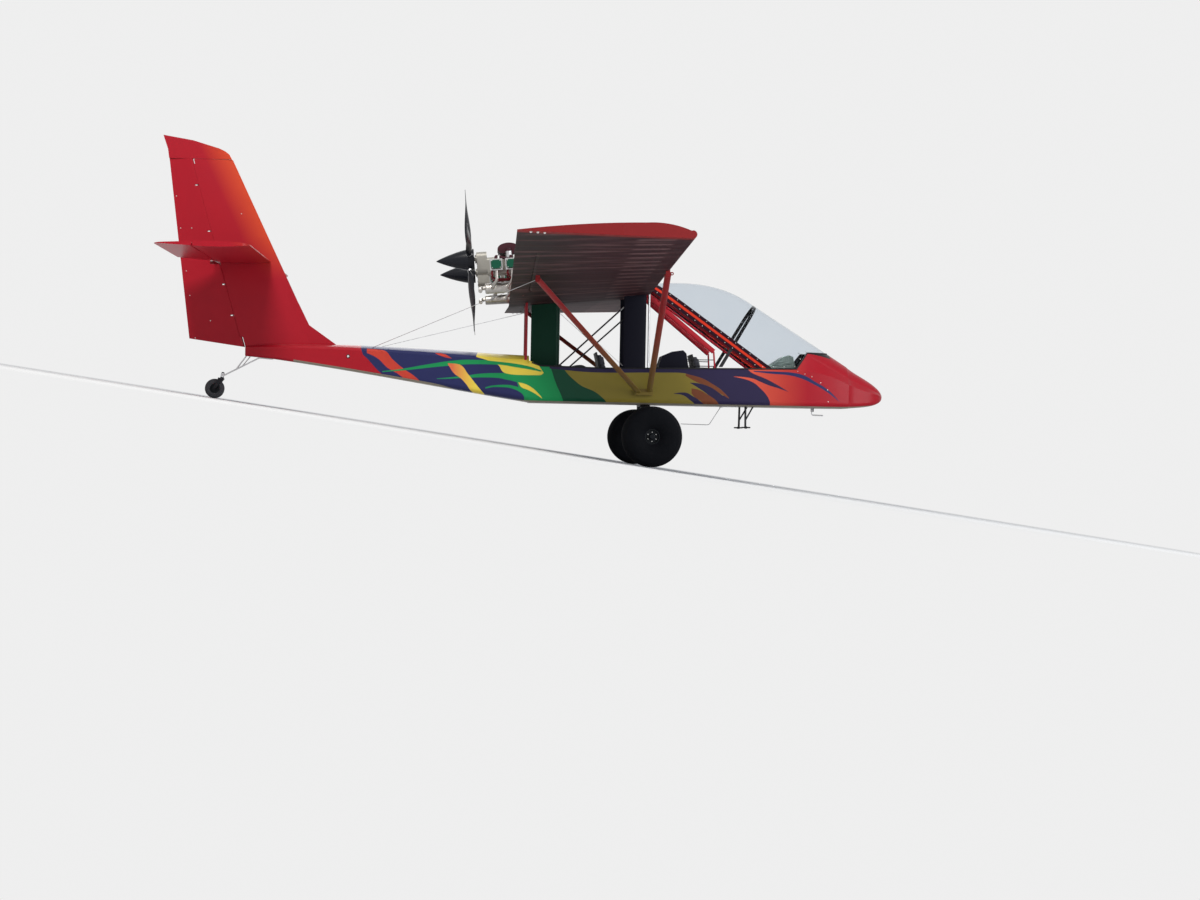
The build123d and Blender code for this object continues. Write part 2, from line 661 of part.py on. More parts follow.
def wheel_pair(radius, width, rim, axle, cap_out, name):
    """Balloon tyre and turned hub about the Y axis."""
    half = width / 2
    bead = half * 0.58
    with BuildPart() as tyre:
        with BuildSketch(Plane.YZ):
            with BuildLine():
                shoulder = (half * 0.86, radius * 0.865)
                bulge = (half, radius * 0.60)
                Line((-bead, rim + FIT), (bead, rim + FIT))
                ThreePointArc((bead, rim + FIT), bulge, shoulder)
                ThreePointArc(shoulder, (0, radius), (-shoulder[0], shoulder[1]))
                ThreePointArc((-shoulder[0], shoulder[1]), (-half, radius * 0.60), (-bead, rim + FIT))
            make_face()
        revolve(axis=Axis.Y)
    tyre.part.label = f"{name}_tyre"
    with BuildPart() as hub:
        with BuildSketch(Plane.YZ):
            with BuildLine():
                dish = bead * 0.45
                Polyline((-bead, axle + FIT), (-bead, axle + 14), (-dish, axle + 16),
                         (-dish, rim - 12), (-bead, rim - 8), (-bead, rim), (bead, rim),
                         (bead, rim - 8), (dish, rim - 12), (dish, axle + 16), (bead, axle + 14),
                         (bead, axle + FIT), close=True)
            make_face()
        revolve(axis=Axis.Y)
        if cap_out:
            with BuildSketch(Plane.XZ.offset(-bead)):
                Circle(axle + 14)
            extrude(amount=-cap_out)
            fillet(faces().sort_by(Axis.Y)[-1].edges(), cap_out * 0.6)
    hub.part.label = f"{name}_hub"
    return tyre.part, hub.part


# Each tyre's seam stands level with its axle when the aircraft is parked
for side, word in SIDES:
    for piece in wheel_pair(MAIN_TYRE_R, MAIN_TYRE_WIDTH, MAIN_RIM_R, AXLE_R, 16, "main"):
        label = piece.label.replace("main", "main_" + word)
        turned = piece if side > 0 else piece.rotate(Axis.Z, 180)
        level = turned.rotate(Axis.Y, 90 + PARK_PITCH)
        placed = level.moved(Location((0, side * MAIN_TRACK / 2, 0)))
        placed.label = label
        finished.append(placed)

# Tailwheel: a leaf under the stern with two braces, a swivelling fork and a small wheel
PIVOT = Vector(-4810, 0, 590)
UPRIGHT = Vector(sin(radians(PARK_PITCH)), 0, cos(radians(PARK_PITCH)))
PIVOT_R = 8
with BuildPart() as tail_spring:
    side_prism(((-4240, 796), (-4260, 812), (-4395, 822), (-4785, 618), (-4785, 603), (-4400, 806)),
               22)
    rod(PIVOT - UPRIGHT * 4, PIVOT + UPRIGHT * 44, 21)
    rod((-4530, 0, 850), (-4662, 0, 670), 8)
    rod((-4480, 0, 850), (-4596, 0, 704), 6)
    add(tail_boom.part, mode=Mode.SUBTRACT)
    rod(PIVOT - UPRIGHT * 8, PIVOT + UPRIGHT * 48, PIVOT_R + FIT, Mode.SUBTRACT)
tail_spring.part.label = "tail_spring"

with BuildPart() as tail_fork:
    rod(PIVOT - UPRIGHT * 22, PIVOT + UPRIGHT * 54, PIVOT_R)
    rod(PIVOT + UPRIGHT * 45, PIVOT + UPRIGHT * 54, 15)
    rod(PIVOT - UPRIGHT * 24, PIVOT - UPRIGHT * 5, 22)
    crown = PIVOT - UPRIGHT * 25
    side_prism(((crown.X + 24, crown.Z - 1), (crown.X + 22, crown.Z + 7), (crown.X - 36, crown.Z + 15),
                (crown.X - 42, crown.Z + 7)), 47)
    for side, word in SIDES:
        face = side * 43
        with BuildSketch(station(face)) as arm:
            with BuildLine():
                Polyline((crown.X + 24, crown.Z - 1), (crown.X + 22, crown.Z + 7),
                         (crown.X - 36, crown.Z + 15), (TAIL_WHEEL_X - 14, TAIL_WHEEL_Z - 2),
                         (TAIL_WHEEL_X, TAIL_WHEEL_Z - 14), (TAIL_WHEEL_X + 14, TAIL_WHEEL_Z - 2),
                         close=True)
            make_face()
        extrude(arm.sketch, amount=4, both=True)
    rod((TAIL_WHEEL_X, -TOW_PIN_Y, TAIL_WHEEL_Z), (TAIL_WHEEL_X, TOW_PIN_Y, TAIL_WHEEL_Z), TAIL_AXLE_R)
tail_fork.part.label = "tail_fork"
finished += [tail_spring.part, tail_fork.part]

for piece in wheel_pair(TAIL_TYRE_R, TAIL_TYRE_WIDTH, TAIL_RIM_R, TAIL_AXLE_R, 0, "tail"):
    placed = piece.rotate(Axis.Y, 90 + PARK_PITCH).moved(Location((TAIL_WHEEL_X, 0, TAIL_WHEEL_Z)))
    placed.label = piece.label
    finished.append(placed)


# Engines: drawn about the propeller shaft, +X forward, with the propeller's plane at x = 0
def engine_seat(side):
    """Place of an engine: its propeller's centre, with the shaft's tilt."""
    return Location((PROP_X, side * ENGINE_Y, PROP_Z), (0, -THRUST_TILT, 0))


def pipe(points, bend, radius, mode=Mode.ADD):
    """Round pipe along a route with rounded corners."""
    with BuildLine() as route:
        FilletPolyline(*points, radius=bend)
    line = route.line
    with BuildSketch(Plane(origin=line @ 0, z_dir=line % 0)) as bore:
        Circle(radius)
    return sweep(bore.sketch, path=line, mode=mode)


HUB_HALF = 45
GEARBOX_X = (78, 190)
CASE_X = (190, 520)
CASE_HALF = 95
CYLINDERS_X = (285, 455)
BARREL_R = 54
FIN_R = 66
BARREL_Y = (CASE_HALF, 205)
HEAD_Y = 262
COVER_Y = 300
COOLING_FINS = 4
engine = {}

with BuildPart() as engine_block:
    with BuildSketch(across(GEARBOX_X[0])):
        with Locations((0, -CRANK_DROP * 0.55)):
            RectangleRounded(168, 250, 55)
    extrude(amount=GEARBOX_X[1] - GEARBOX_X[0])
    with BuildSketch(across(CASE_X[0])):
        with Locations((0, -CRANK_DROP)):
            RectangleRounded(2 * CASE_HALF, 196, 34)
    extrude(amount=CASE_X[1] - CASE_X[0])
    rod((-HUB_HALF, 0, 0), (GEARBOX_X[0], 0, 0), SHAFT_R)
    rod((60, 0, 0), (GEARBOX_X[0], 0, 0), 46)
engine["engine_block"] = engine_block.part

with BuildPart() as cylinders:
    for side in (1, -1):
        for x in CYLINDERS_X:
            rod((x, side * BARREL_Y[0], -CRANK_DROP), (x, side * BARREL_Y[1], -CRANK_DROP), BARREL_R)
            pitch = (BARREL_Y[1] - BARREL_Y[0]) / COOLING_FINS
            for fin_index in range(COOLING_FINS):
                y = side * (BARREL_Y[0] + (fin_index + 0.35) * pitch)
                rod((x, y, -CRANK_DROP), (x, y + side * pitch * 0.35, -CRANK_DROP), FIN_R)
            ends = sorted((side * BARREL_Y[1], side * HEAD_Y))
            block((x - 68, ends[0], -CRANK_DROP - 62), (x + 68, ends[1], -CRANK_DROP + 62))
engine["engine_cylinders"] = cylinders.part

with BuildPart() as rocker_covers:
    for side in (1, -1):
        for x in CYLINDERS_X:
            with BuildSketch(station(side * (HEAD_Y + FIT))):
                with Locations((x, -CRANK_DROP)):
                    RectangleRounded(118, 104, 22)
            extrude(amount=-side * (COVER_Y - HEAD_Y - FIT), taper=12)
engine["rocker_covers"] = rocker_covers.part

MOUNT_FEET_X = (-1430, -1010)
AIRBOX_X = 430
AIRBOX_Z = 82
with BuildPart() as intake:
    with BuildSketch(station(-150)):
        with Locations((AIRBOX_X, AIRBOX_Z)):
            Ellipse(118, 66)
    extrude(amount=-300)
    for side in (1, -1):
        rod((AIRBOX_X, side * 186, -22), (AIRBOX_X, side * 186, 78), 34)
        rod((AIRBOX_X, side * 150, 60), (AIRBOX_X, side * 186, 60), 30)
        for x in CYLINDERS_X:
            pipe(((AIRBOX_X, side * 186, -20), (AIRBOX_X + (x - AIRBOX_X) * 0.3, side * 200, -24),
                  (x, side * 232, -CRANK_DROP + 62 + 30), (x, side * 234, -CRANK_DROP + 62)), 10, 15)
    add(cylinders.part, mode=Mode.SUBTRACT)
engine["engine_intake"] = intake.part

MUFFLER_Z = -332
MUFFLER_X = (150, 470)
with BuildPart() as exhaust:
    with BuildSketch(across(MUFFLER_X[0])):
        with Locations((0, MUFFLER_Z)):
            Circle(56)
    extrude(amount=MUFFLER_X[1] - MUFFLER_X[0])
    fillet(edges().filter_by(GeomType.CIRCLE), 14)
    for side in (1, -1):
        for x, inlet in zip(CYLINDERS_X, (230, 400)):
            pipe(((x, side * 233, -CRANK_DROP - 62), (x, side * 233, -258),
                  (inlet, side * 150, MUFFLER_Z), (inlet, side * 40, MUFFLER_Z)), 36, 17)
    pipe(((MUFFLER_X[0] + 10, 0, MUFFLER_Z + 8), (96, 0, MUFFLER_Z + 8), (96, -110, MUFFLER_Z - 30)),
         34, 22)
engine["engine_exhaust"] = exhaust.part

CASE_FOOT_Z = -CRANK_DROP - 98
with BuildPart() as oil_cooler:
    block((484, -54, CASE_FOOT_Z - 112), (530, 54, CASE_FOOT_Z - 10))
    for y in (-36, 36):
        block((496, y - 6, CASE_FOOT_Z - 12), (518, y + 6, CASE_FOOT_Z))
engine["oil_cooler"] = oil_cooler.part

# Propeller: twisted blades on round shanks in one hub
BLADE_STATIONS = (
    # radius, chord, thickness, angle from the plane of the disc
    (140, 50, 42, 52),
    (290, 104, 20, 40),
    (560, 78, 11, 26),
    (PROP_R, 16, 4, 17),
)
SHANK_R = 23
with BuildPart() as blade:
    sections = []
    for radius, chord, thick, angle in BLADE_STATIONS:
        way = (sin(radians(angle)), cos(radians(angle)), 0)
        with BuildSketch(Plane(origin=(0, 0, radius), x_dir=way, z_dir=(0, 0, 1))) as slice:
            with BuildLine():
                ThreePointArc((-chord / 2, 0), (0, thick / 2), (chord / 2, 0))
                ThreePointArc((chord / 2, 0), (0, -thick / 2), (-chord / 2, 0))
            make_face()
        sections.append(slice.sketch)
    loft(sections=sections)
    rod((0, 0, 30), (0, 0, BLADE_STATIONS[0][0] + 4), SHANK_R)

with BuildPart() as propeller:
    rod((-HUB_HALF, 0, 0), (HUB_HALF, 0, 0), 58)
    for k in range(PROP_BLADES):
        add(blade.part.rotate(Axis.X, 360 * k / PROP_BLADES))
    rod((-HUB_HALF - 1, 0, 0), (HUB_HALF + 1, 0, 0), SHAFT_R + FIT, Mode.SUBTRACT)

SPINNER_BASE_X = 52
SPINNER_BORE_X = -50
SPINNER_BORE_R = 58.5
with BuildPart() as spinner:
    with BuildSketch(Plane.XZ):
        with BuildLine():
            tip_x = SPINNER_BASE_X - SPINNER_LENGTH
            Polyline((SPINNER_BORE_X, 0), (tip_x, 0), (tip_x, 5))
            ThreePointArc((tip_x, 5), ((tip_x - 20) / 2, SPINNER_R * 0.62), (-20, SPINNER_R))
            Polyline((-20, SPINNER_R), (SPINNER_BASE_X, SPINNER_R),
                     (SPINNER_BASE_X, SPINNER_BORE_R), (SPINNER_BORE_X, SPINNER_BORE_R),
                     (SPINNER_BORE_X, 0))
        make_face()
    revolve(axis=Axis.X)
    for k in range(PROP_BLADES):
        angle = radians(360 * k / PROP_BLADES)
        way = Vector(0, -sin(angle), cos(angle))
        rod(way * 30, way * 200, SHANK_R + FIT, Mode.SUBTRACT)

for side, word in SIDES:
    seat = engine_seat(side)
    for name, shape in engine.items():
        placed = shape.moved(seat)
        placed.label = f"{name}_{word}"
        finished.append(placed)
    phase = FAR_BLADE if side > 0 else NEAR_BLADE
    for name, shape in (("propeller", propeller.part), ("spinner", spinner.part)):
        placed = shape.rotate(Axis.X, phase).moved(seat)
        placed.label = f"{name}_{word}"
        finished.append(placed)
    # Mount: welded tubes from the front of the crankcase down to the wing's spars
    with BuildPart() as mount:
        for y in (-70, 70):
            high = (seat * Location((CASE_X[1] + 12, y, -CRANK_DROP + 60))).position
            low = (seat * Location((CASE_X[1] + 12, y, -CRANK_DROP - 80))).position
            for z in (-CRANK_DROP + 60, -CRANK_DROP - 80):
                rod((seat * Location((CASE_X[1] - 2, y, z))).position,
                    (seat * Location((CASE_X[1] + 20, y, z))).position, 15)
            foot_y = side * ENGINE_Y + y * 1.5
            rear, front = [(x, foot_y, underside(x, ENGINE_Y) + lift)
                           for x, lift in zip(MOUNT_FEET_X, (10, 60))]
            for start, end in ((high, front), (low, front), (low, rear), (high, low)):
                rod(start, end, 10)
            for foot in (front, rear):
                rod((foot[0], foot[1], foot[2] - 5), (foot[0], foot[1], foot[2] + 84), 13)
        add(wing_centre.part, mode=Mode.SUBTRACT)
        for shape in finished:
            if shape.label == f"engine_block_{word}":
                add(shape, mode=Mode.SUBTRACT)
    mount.part.label = f"engine_mount_{word}"
    finished.append(mount.part)

# Cockpit: two seats with pads, instrument pods, sticks and pedals
FLOOR_Z = BELLY_Z + WALL + FIT
SEATS = (("front", 1085), ("rear", -10))
SEAT_HALF = 215
for word, lip_x in SEATS:
    with BuildPart() as seat_shell:
        side_prism(((lip_x, 492), (lip_x - 26, 500), (lip_x - 380, 452), (lip_x - 432, 480),
                    (lip_x - 548, 955), (lip_x - 566, 951), (lip_x - 450, 468),
                    (lip_x - 384, 432), (lip_x, 476)), SEAT_HALF)
        for y in (-180, 180):
            for x, top in ((lip_x - 60, 470), (lip_x - 350, 432)):
                rod((x, y, FLOOR_Z), (x, y, top), 11)
    seat_shell.part.label = f"{word}_seat"
    with BuildPart() as pads:
        side_prism(((lip_x - 22, 501), (lip_x - 30, 542), (lip_x - 200, 538), (lip_x - 376, 512),
                    (lip_x - 490, 948), (lip_x - 545, 944), (lip_x - 430, 484),
                    (lip_x - 380, 454)), SEAT_HALF - 14)
    pads.part.label = f"{word}_seat_pads"
    finished += [seat_shell.part, pads.part]

with BuildPart() as instrument_pod:
    side_prism(((1322, 772), (1590, 948), (1650, 968), (1700, 950), (1742, 800), (1730, 772)), 176)
    fillet(edges().filter_by(Axis.Y), 16)
    block((1500, -60, FLOOR_Z), (1600, 60, 775))
    add(cockpit_tub.part, mode=Mode.SUBTRACT)
instrument_pod.part.label = "instrument_pod"
with BuildPart() as rear_pod:
    side_prism(((168, 700), (150, 800), (190, 930), (300, 978), (430, 998), (468, 960),
                (498, 780), (480, 700)), 200)
    fillet(edges().filter_by(Axis.Y), 16)
    block((290, -60, FLOOR_Z), (390, 60, 702))
rear_pod.part.label = "rear_pod"

with BuildPart() as cockpit_controls:
    for x in (1190, 95):
        rod((x, 0, FLOOR_Z), (x, 0, FLOOR_Z + 34), 24)
        rod((x, 0, FLOOR_Z + 14), (x - 26, 0, 668), 10)
        rod((x - 24, 0, 640), (x - 32, 0, 745), 17)
    for y in (-150, 150):
        block((1846, y - 45, 470), (1858, y + 45, 590))
        rod((1852, y, FLOOR_Z + 0.3), (1852, y, 475), 9)
cockpit_controls.part.label = "cockpit_controls"
with BuildPart() as baggage:
    side_prism(((-930, FLOOR_Z), (-930, 730), (-860, 800), (-720, 826), (-640, 790),
                (-640, FLOOR_Z)), 200)
    fillet(edges().filter_by(Axis.Y), 30)
baggage.part.label = "baggage_bag"
finished += [instrument_pod.part, rear_pod.part, cockpit_controls.part, baggage.part]

# Under the belly: boarding steps, a whip aerial and the air-speed probe
STEP_X = 1150
STEP_LOW_Z = 127
with BuildPart() as boarding_steps:
    for side, word in SIDES:
        rod((STEP_X, side * 258, BELLY_Z + 6), (STEP_X, side * 282, STEP_LOW_Z), 12)
        rod((STEP_X, side * 270, STEP_LOW_Z), (STEP_X, side * 372, STEP_LOW_Z), 14)
        rod((STEP_X + 90, side * 256, BELLY_Z + 6), (STEP_X, side * 276, 210), 9)
    add(cockpit_tub.part, mode=Mode.SUBTRACT)
boarding_steps.part.label = "boarding_steps"
with BuildPart() as belly_probes:
    pipe(((900, 0, BELLY_Z), (765, 0, 151), (440, 0, 156)), 40, 4)
    pipe(((1940, -120, BELLY_Z + 6), (1940, -120, 286), (2070, -120, 283)), 20, 7)
    rod((900, 0, BELLY_Z - 10), (900, 0, BELLY_Z), 20)
    add(cockpit_tub.part, mode=Mode.SUBTRACT)
belly_probes.part.label = "belly_probes"
finished += [boarding_steps.part, belly_probes.part]

# Stand the aircraft on its wheels and put the origin under the middle of its outline
pitched = Location((0, 0, MAIN_TYRE_R), (0, -PARK_PITCH, 0))
outline = Compound(children=[piece.moved(pitched) for piece in finished]).bounding_box()
shift = Location((-(outline.min.X + outline.max.X) / 2, 0, -outline.min.Z))
parked = shift * pitched
os.makedirs("parts", exist_ok=True)
for piece in finished:
    standing = piece.moved(parked)
    standing.label = piece.label
    export_step(standing, f"parts/{piece.label}.step")
print("parked", PARK_PITCH, *parked.position)
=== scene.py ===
import json
from math import atan2, cos, pi, radians, sin

import bmesh
import bpy
from mathutils import Matrix, Vector
from mathutils.bvhtree import BVHTree


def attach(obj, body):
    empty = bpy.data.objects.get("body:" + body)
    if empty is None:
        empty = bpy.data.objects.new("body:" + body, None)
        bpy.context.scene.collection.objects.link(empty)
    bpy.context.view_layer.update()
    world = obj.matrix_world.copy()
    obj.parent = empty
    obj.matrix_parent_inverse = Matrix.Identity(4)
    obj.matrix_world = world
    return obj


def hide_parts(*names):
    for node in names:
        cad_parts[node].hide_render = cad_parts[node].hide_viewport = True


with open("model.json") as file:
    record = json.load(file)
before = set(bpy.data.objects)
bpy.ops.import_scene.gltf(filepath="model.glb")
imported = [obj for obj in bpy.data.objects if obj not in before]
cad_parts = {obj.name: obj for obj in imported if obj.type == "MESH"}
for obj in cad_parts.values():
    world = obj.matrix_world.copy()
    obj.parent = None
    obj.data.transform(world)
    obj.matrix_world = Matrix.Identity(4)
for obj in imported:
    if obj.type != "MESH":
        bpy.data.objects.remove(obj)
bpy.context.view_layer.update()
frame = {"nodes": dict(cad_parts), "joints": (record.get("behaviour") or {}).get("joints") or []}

nodes = frame["nodes"]
joint_at = {joint["name"]: Vector(joint["pos_m"]) for joint in frame["joints"]}
joint_way = {joint["name"]: Vector(joint["axis"]).normalized() for joint in frame["joints"]}
SIDES = ((1, "left"), (-1, "right"))

# Level frame: the fuselage as it flies, in metres, with its origin between the main wheels
AXLE = joint_at["main_wheel_left_spin"].copy()
AXLE.y = 0
TAIL_AXLE = joint_at["tail_wheel_spin"] - AXLE
LEVEL_TAIL_AXLE = (-4.893, 0.455)
PITCH = atan2(TAIL_AXLE.z, TAIL_AXLE.x) - atan2(LEVEL_TAIL_AXLE[1], LEVEL_TAIL_AXLE[0])
PARKED = Matrix.Translation(AXLE) @ Matrix.Rotation(-PITCH, 4, "Y")


def at(x, y, z):
    """A point of the level frame, in the parked aircraft's frame."""
    return PARKED @ Vector((x, y, z))


# Paints
RED = (0.375, 0.006, 0.016)
ORANGE_RED = (0.55, 0.050, 0.030)
ORANGE = (0.70, 0.16, 0.065)
YELLOW = (0.80, 0.62, 0.075)
# Yellow darkened to olive: painted shadow of the wing on the fuselage's middle
YELLOW_IN_WING_SHADOW = (0.26, 0.20, 0.032)
GREEN = (0.008, 0.270, 0.080)
# Green darkened: painted shadow of the wing on the fuselage's middle
GREEN_IN_WING_SHADOW = (0.002, 0.060, 0.028)
NAVY = (0.018, 0.022, 0.095)
PURPLE = (0.022, 0.016, 0.056)
# Orange darkened to brown: painted shadow of the wing on the flames below it
ORANGE_IN_WING_SHADOW = (0.19, 0.055, 0.022)
BELLY_GREY = (0.26, 0.23, 0.18)
BLACK = (0.012, 0.012, 0.014)
# Red fabric darkened to maroon: painted shade of the wing's underside
WING_UNDER_SHADE = (0.036, 0.009, 0.014)
INSIDE = (0.030, 0.030, 0.034)
GRIME = (0.02, 0.015, 0.02)


class Shader:
    """Builds a material's nodes one value at a time."""

    def __init__(self, name):
        self.material = bpy.data.materials.new(name)
        self.material.use_nodes = True
        self.tree = self.material.node_tree
        self.surface = self.tree.nodes["Principled BSDF"]
        self.coords = None

    def link(self, value, socket):
        """Gives a socket a number, a colour or another node's output."""
        if isinstance(value, bpy.types.NodeSocket):
            self.tree.links.new(value, socket)
        elif isinstance(value, tuple) and len(value) == 3 and socket.type == "RGBA":
            socket.default_value = value + (1.0,)
        else:
            socket.default_value = value

    def math(self, operation, *values, clamp=False):
        """A Math node on numbers or outputs."""
        node = self.tree.nodes.new("ShaderNodeMath")
        node.operation = operation
        node.use_clamp = clamp
        for value, socket in zip(values, node.inputs):
            self.link(value, socket)
        return node.outputs[0]

    def level(self):
        """The level frame's x, y and z at the shaded point."""
        if self.coords is None:
            object_point = self.tree.nodes.new("ShaderNodeTexCoord").outputs["Object"]
            mapping = self.tree.nodes.new("ShaderNodeMapping")
            mapping.vector_type = "TEXTURE"
            mapping.inputs["Location"].default_value = AXLE
            mapping.inputs["Rotation"].default_value = (0, -PITCH, 0)
            self.link(object_point, mapping.inputs["Vector"])
            split = self.tree.nodes.new("ShaderNodeSeparateXYZ")
            self.link(mapping.outputs[0], split.inputs[0])
            self.coords = (*split.outputs, mapping.outputs[0])
        return self.coords

    def noise(self, scale, detail=3, stretch=(1, 1, 1)):
        """Noise of the level frame, drawn out by stretch."""
        scaled = self.tree.nodes.new("ShaderNodeMapping")
        scaled.inputs["Scale"].default_value = stretch
        self.link(self.level()[3], scaled.inputs["Vector"])
        node = self.tree.nodes.new("ShaderNodeTexNoise")
        node.inputs["Scale"].default_value = scale
        node.inputs["Detail"].default_value = detail
        self.link(scaled.outputs[0], node.inputs["Vector"])
        return node.outputs["Fac"]

    def mix(self, share, first, second):
        """A colour between two."""
        node = self.tree.nodes.new("ShaderNodeMix")
        node.data_type = "RGBA"
        self.link(share, node.inputs[0])
        self.link(first, node.inputs[6])
        self.link(second, node.inputs[7])
        return node.outputs[2]

    def curve(self, x, points):
        """Height of a smooth line through the points, as a function of x."""
        xs, ys = [p[0] for p in points], [p[1] for p in points]
        low, high = min(ys), max(ys)
        span = (high - low) or 1
        share = self.math("DIVIDE", self.math("SUBTRACT", x, xs[0]), xs[-1] - xs[0], clamp=True)
        node = self.tree.nodes.new("ShaderNodeFloatCurve")
        line = node.mapping.curves[0]
        places = [((px - xs[0]) / (xs[-1] - xs[0]), (py - low) / span) for px, py in points]
        line.points[0].location = places[0]
        line.points[1].location = places[-1]
        for place in places[1:-1]:
            line.points.new(*place)
        for point in line.points:
            point.handle_type = "AUTO_CLAMPED"
        node.mapping.update()
        self.link(share, node.inputs["Value"])
        return self.math("MULTIPLY_ADD", node.outputs[0], span, low)

    def above(self, value, limit, softness=0.004):
        """1 where value is over limit, with a narrow soft edge."""
        gap = self.math("SUBTRACT", value, limit)
        return self.math("MULTIPLY_ADD", gap, 1 / softness, 0.5, clamp=True)

    def band(self, lower, upper):
        """1 between two lines drawn over the level frame's x."""
        x, _, z, _ = self.level()
        start = max(lower[0][0], upper[0][0])
        end = min(lower[-1][0], upper[-1][0])
        inside = self.math("MULTIPLY", self.above(x, start), self.above(end, x))
        inside = self.math("MULTIPLY", inside, self.above(z, self.curve(x, lower)))
        return self.math("MULTIPLY", inside, self.above(self.curve(x, upper), z))

    def bump(self, height, strength, distance=0.002):
        """Relief from a height, joined to the surface."""
        node = self.tree.nodes.new("ShaderNodeBump")
        node.inputs["Strength"].default_value = strength
        node.inputs["Distance"].default_value = distance
        self.link(height, node.inputs["Height"])
        self.link(node.outputs[0], self.surface.inputs["Normal"])

    def normal(self):
        """The surface's direction in the parked aircraft's frame, as x, y and z."""
        direction = self.tree.nodes.new("ShaderNodeTexCoord").outputs["Normal"]
        split = self.tree.nodes.new("ShaderNodeSeparateXYZ")
        self.link(direction, split.inputs[0])
        return split.outputs

    def finish(self, color, roughness, metallic=0.0, coat=0.0, specular=0.5):
        """Sets the surface's main values."""
        self.surface.inputs["Specular IOR Level"].default_value = specular
        self.link(color, self.surface.inputs["Base Color"])
        self.link(roughness, self.surface.inputs["Roughness"])
        self.link(metallic, self.surface.inputs["Metallic"])
        self.surface.inputs["Coat Weight"].default_value = coat
        self.surface.inputs["Coat Roughness"].default_value = 0.08
        return self.material


def plain(name, color, roughness=0.4, metallic=0.0, coat=0.0, grain=120.0, wear=0.12, relief=0.06,
          specular=0.2):
    """A material of one colour with a little grain in its tone and gloss."""
    shader = Shader(name)
    grained = shader.noise(grain)
    darker = tuple(c * (1 - wear) for c in color)
    tone = shader.mix(grained, darker, tuple(min(c * (1 + wear), 1) for c in color))
    gloss = shader.math("MULTIPLY_ADD", grained, 0.16, roughness - 0.08)
    shader.bump(grained, relief, 0.001)
    return shader.finish(tone, gloss, metallic, coat, specular)


# Windshield: its aft edge's top in side view and the way forward across it, where the stripe and
# the band lie, and its looks
EDGE_TOP = (0.060, 1.661)
EDGE_WAY = (0.581, 0.814)
STRIPE = (0.040, 0.068)
BAND_END = 0.106
GLAZING_IOR = 1.12
GLAZING_TINTS = ((0.80, 0.84, 0.88), (0.85, 0.88, 0.91))
BAND_TONE = (0.022, 0.008, 0.014)
STRIPE_TONE = (0.60, 0.040, 0.018)

# Hull's middle height, and where along x it and its end walls are hollow
HULL_MIDDLE_Z = 0.65
HOLLOW_X = (-1.40, 2.25)
END_WALLS_X = (-0.95, 1.80)

# Heights below and above all of the hull
BOTTOM = 0.0
TOP = 2.2
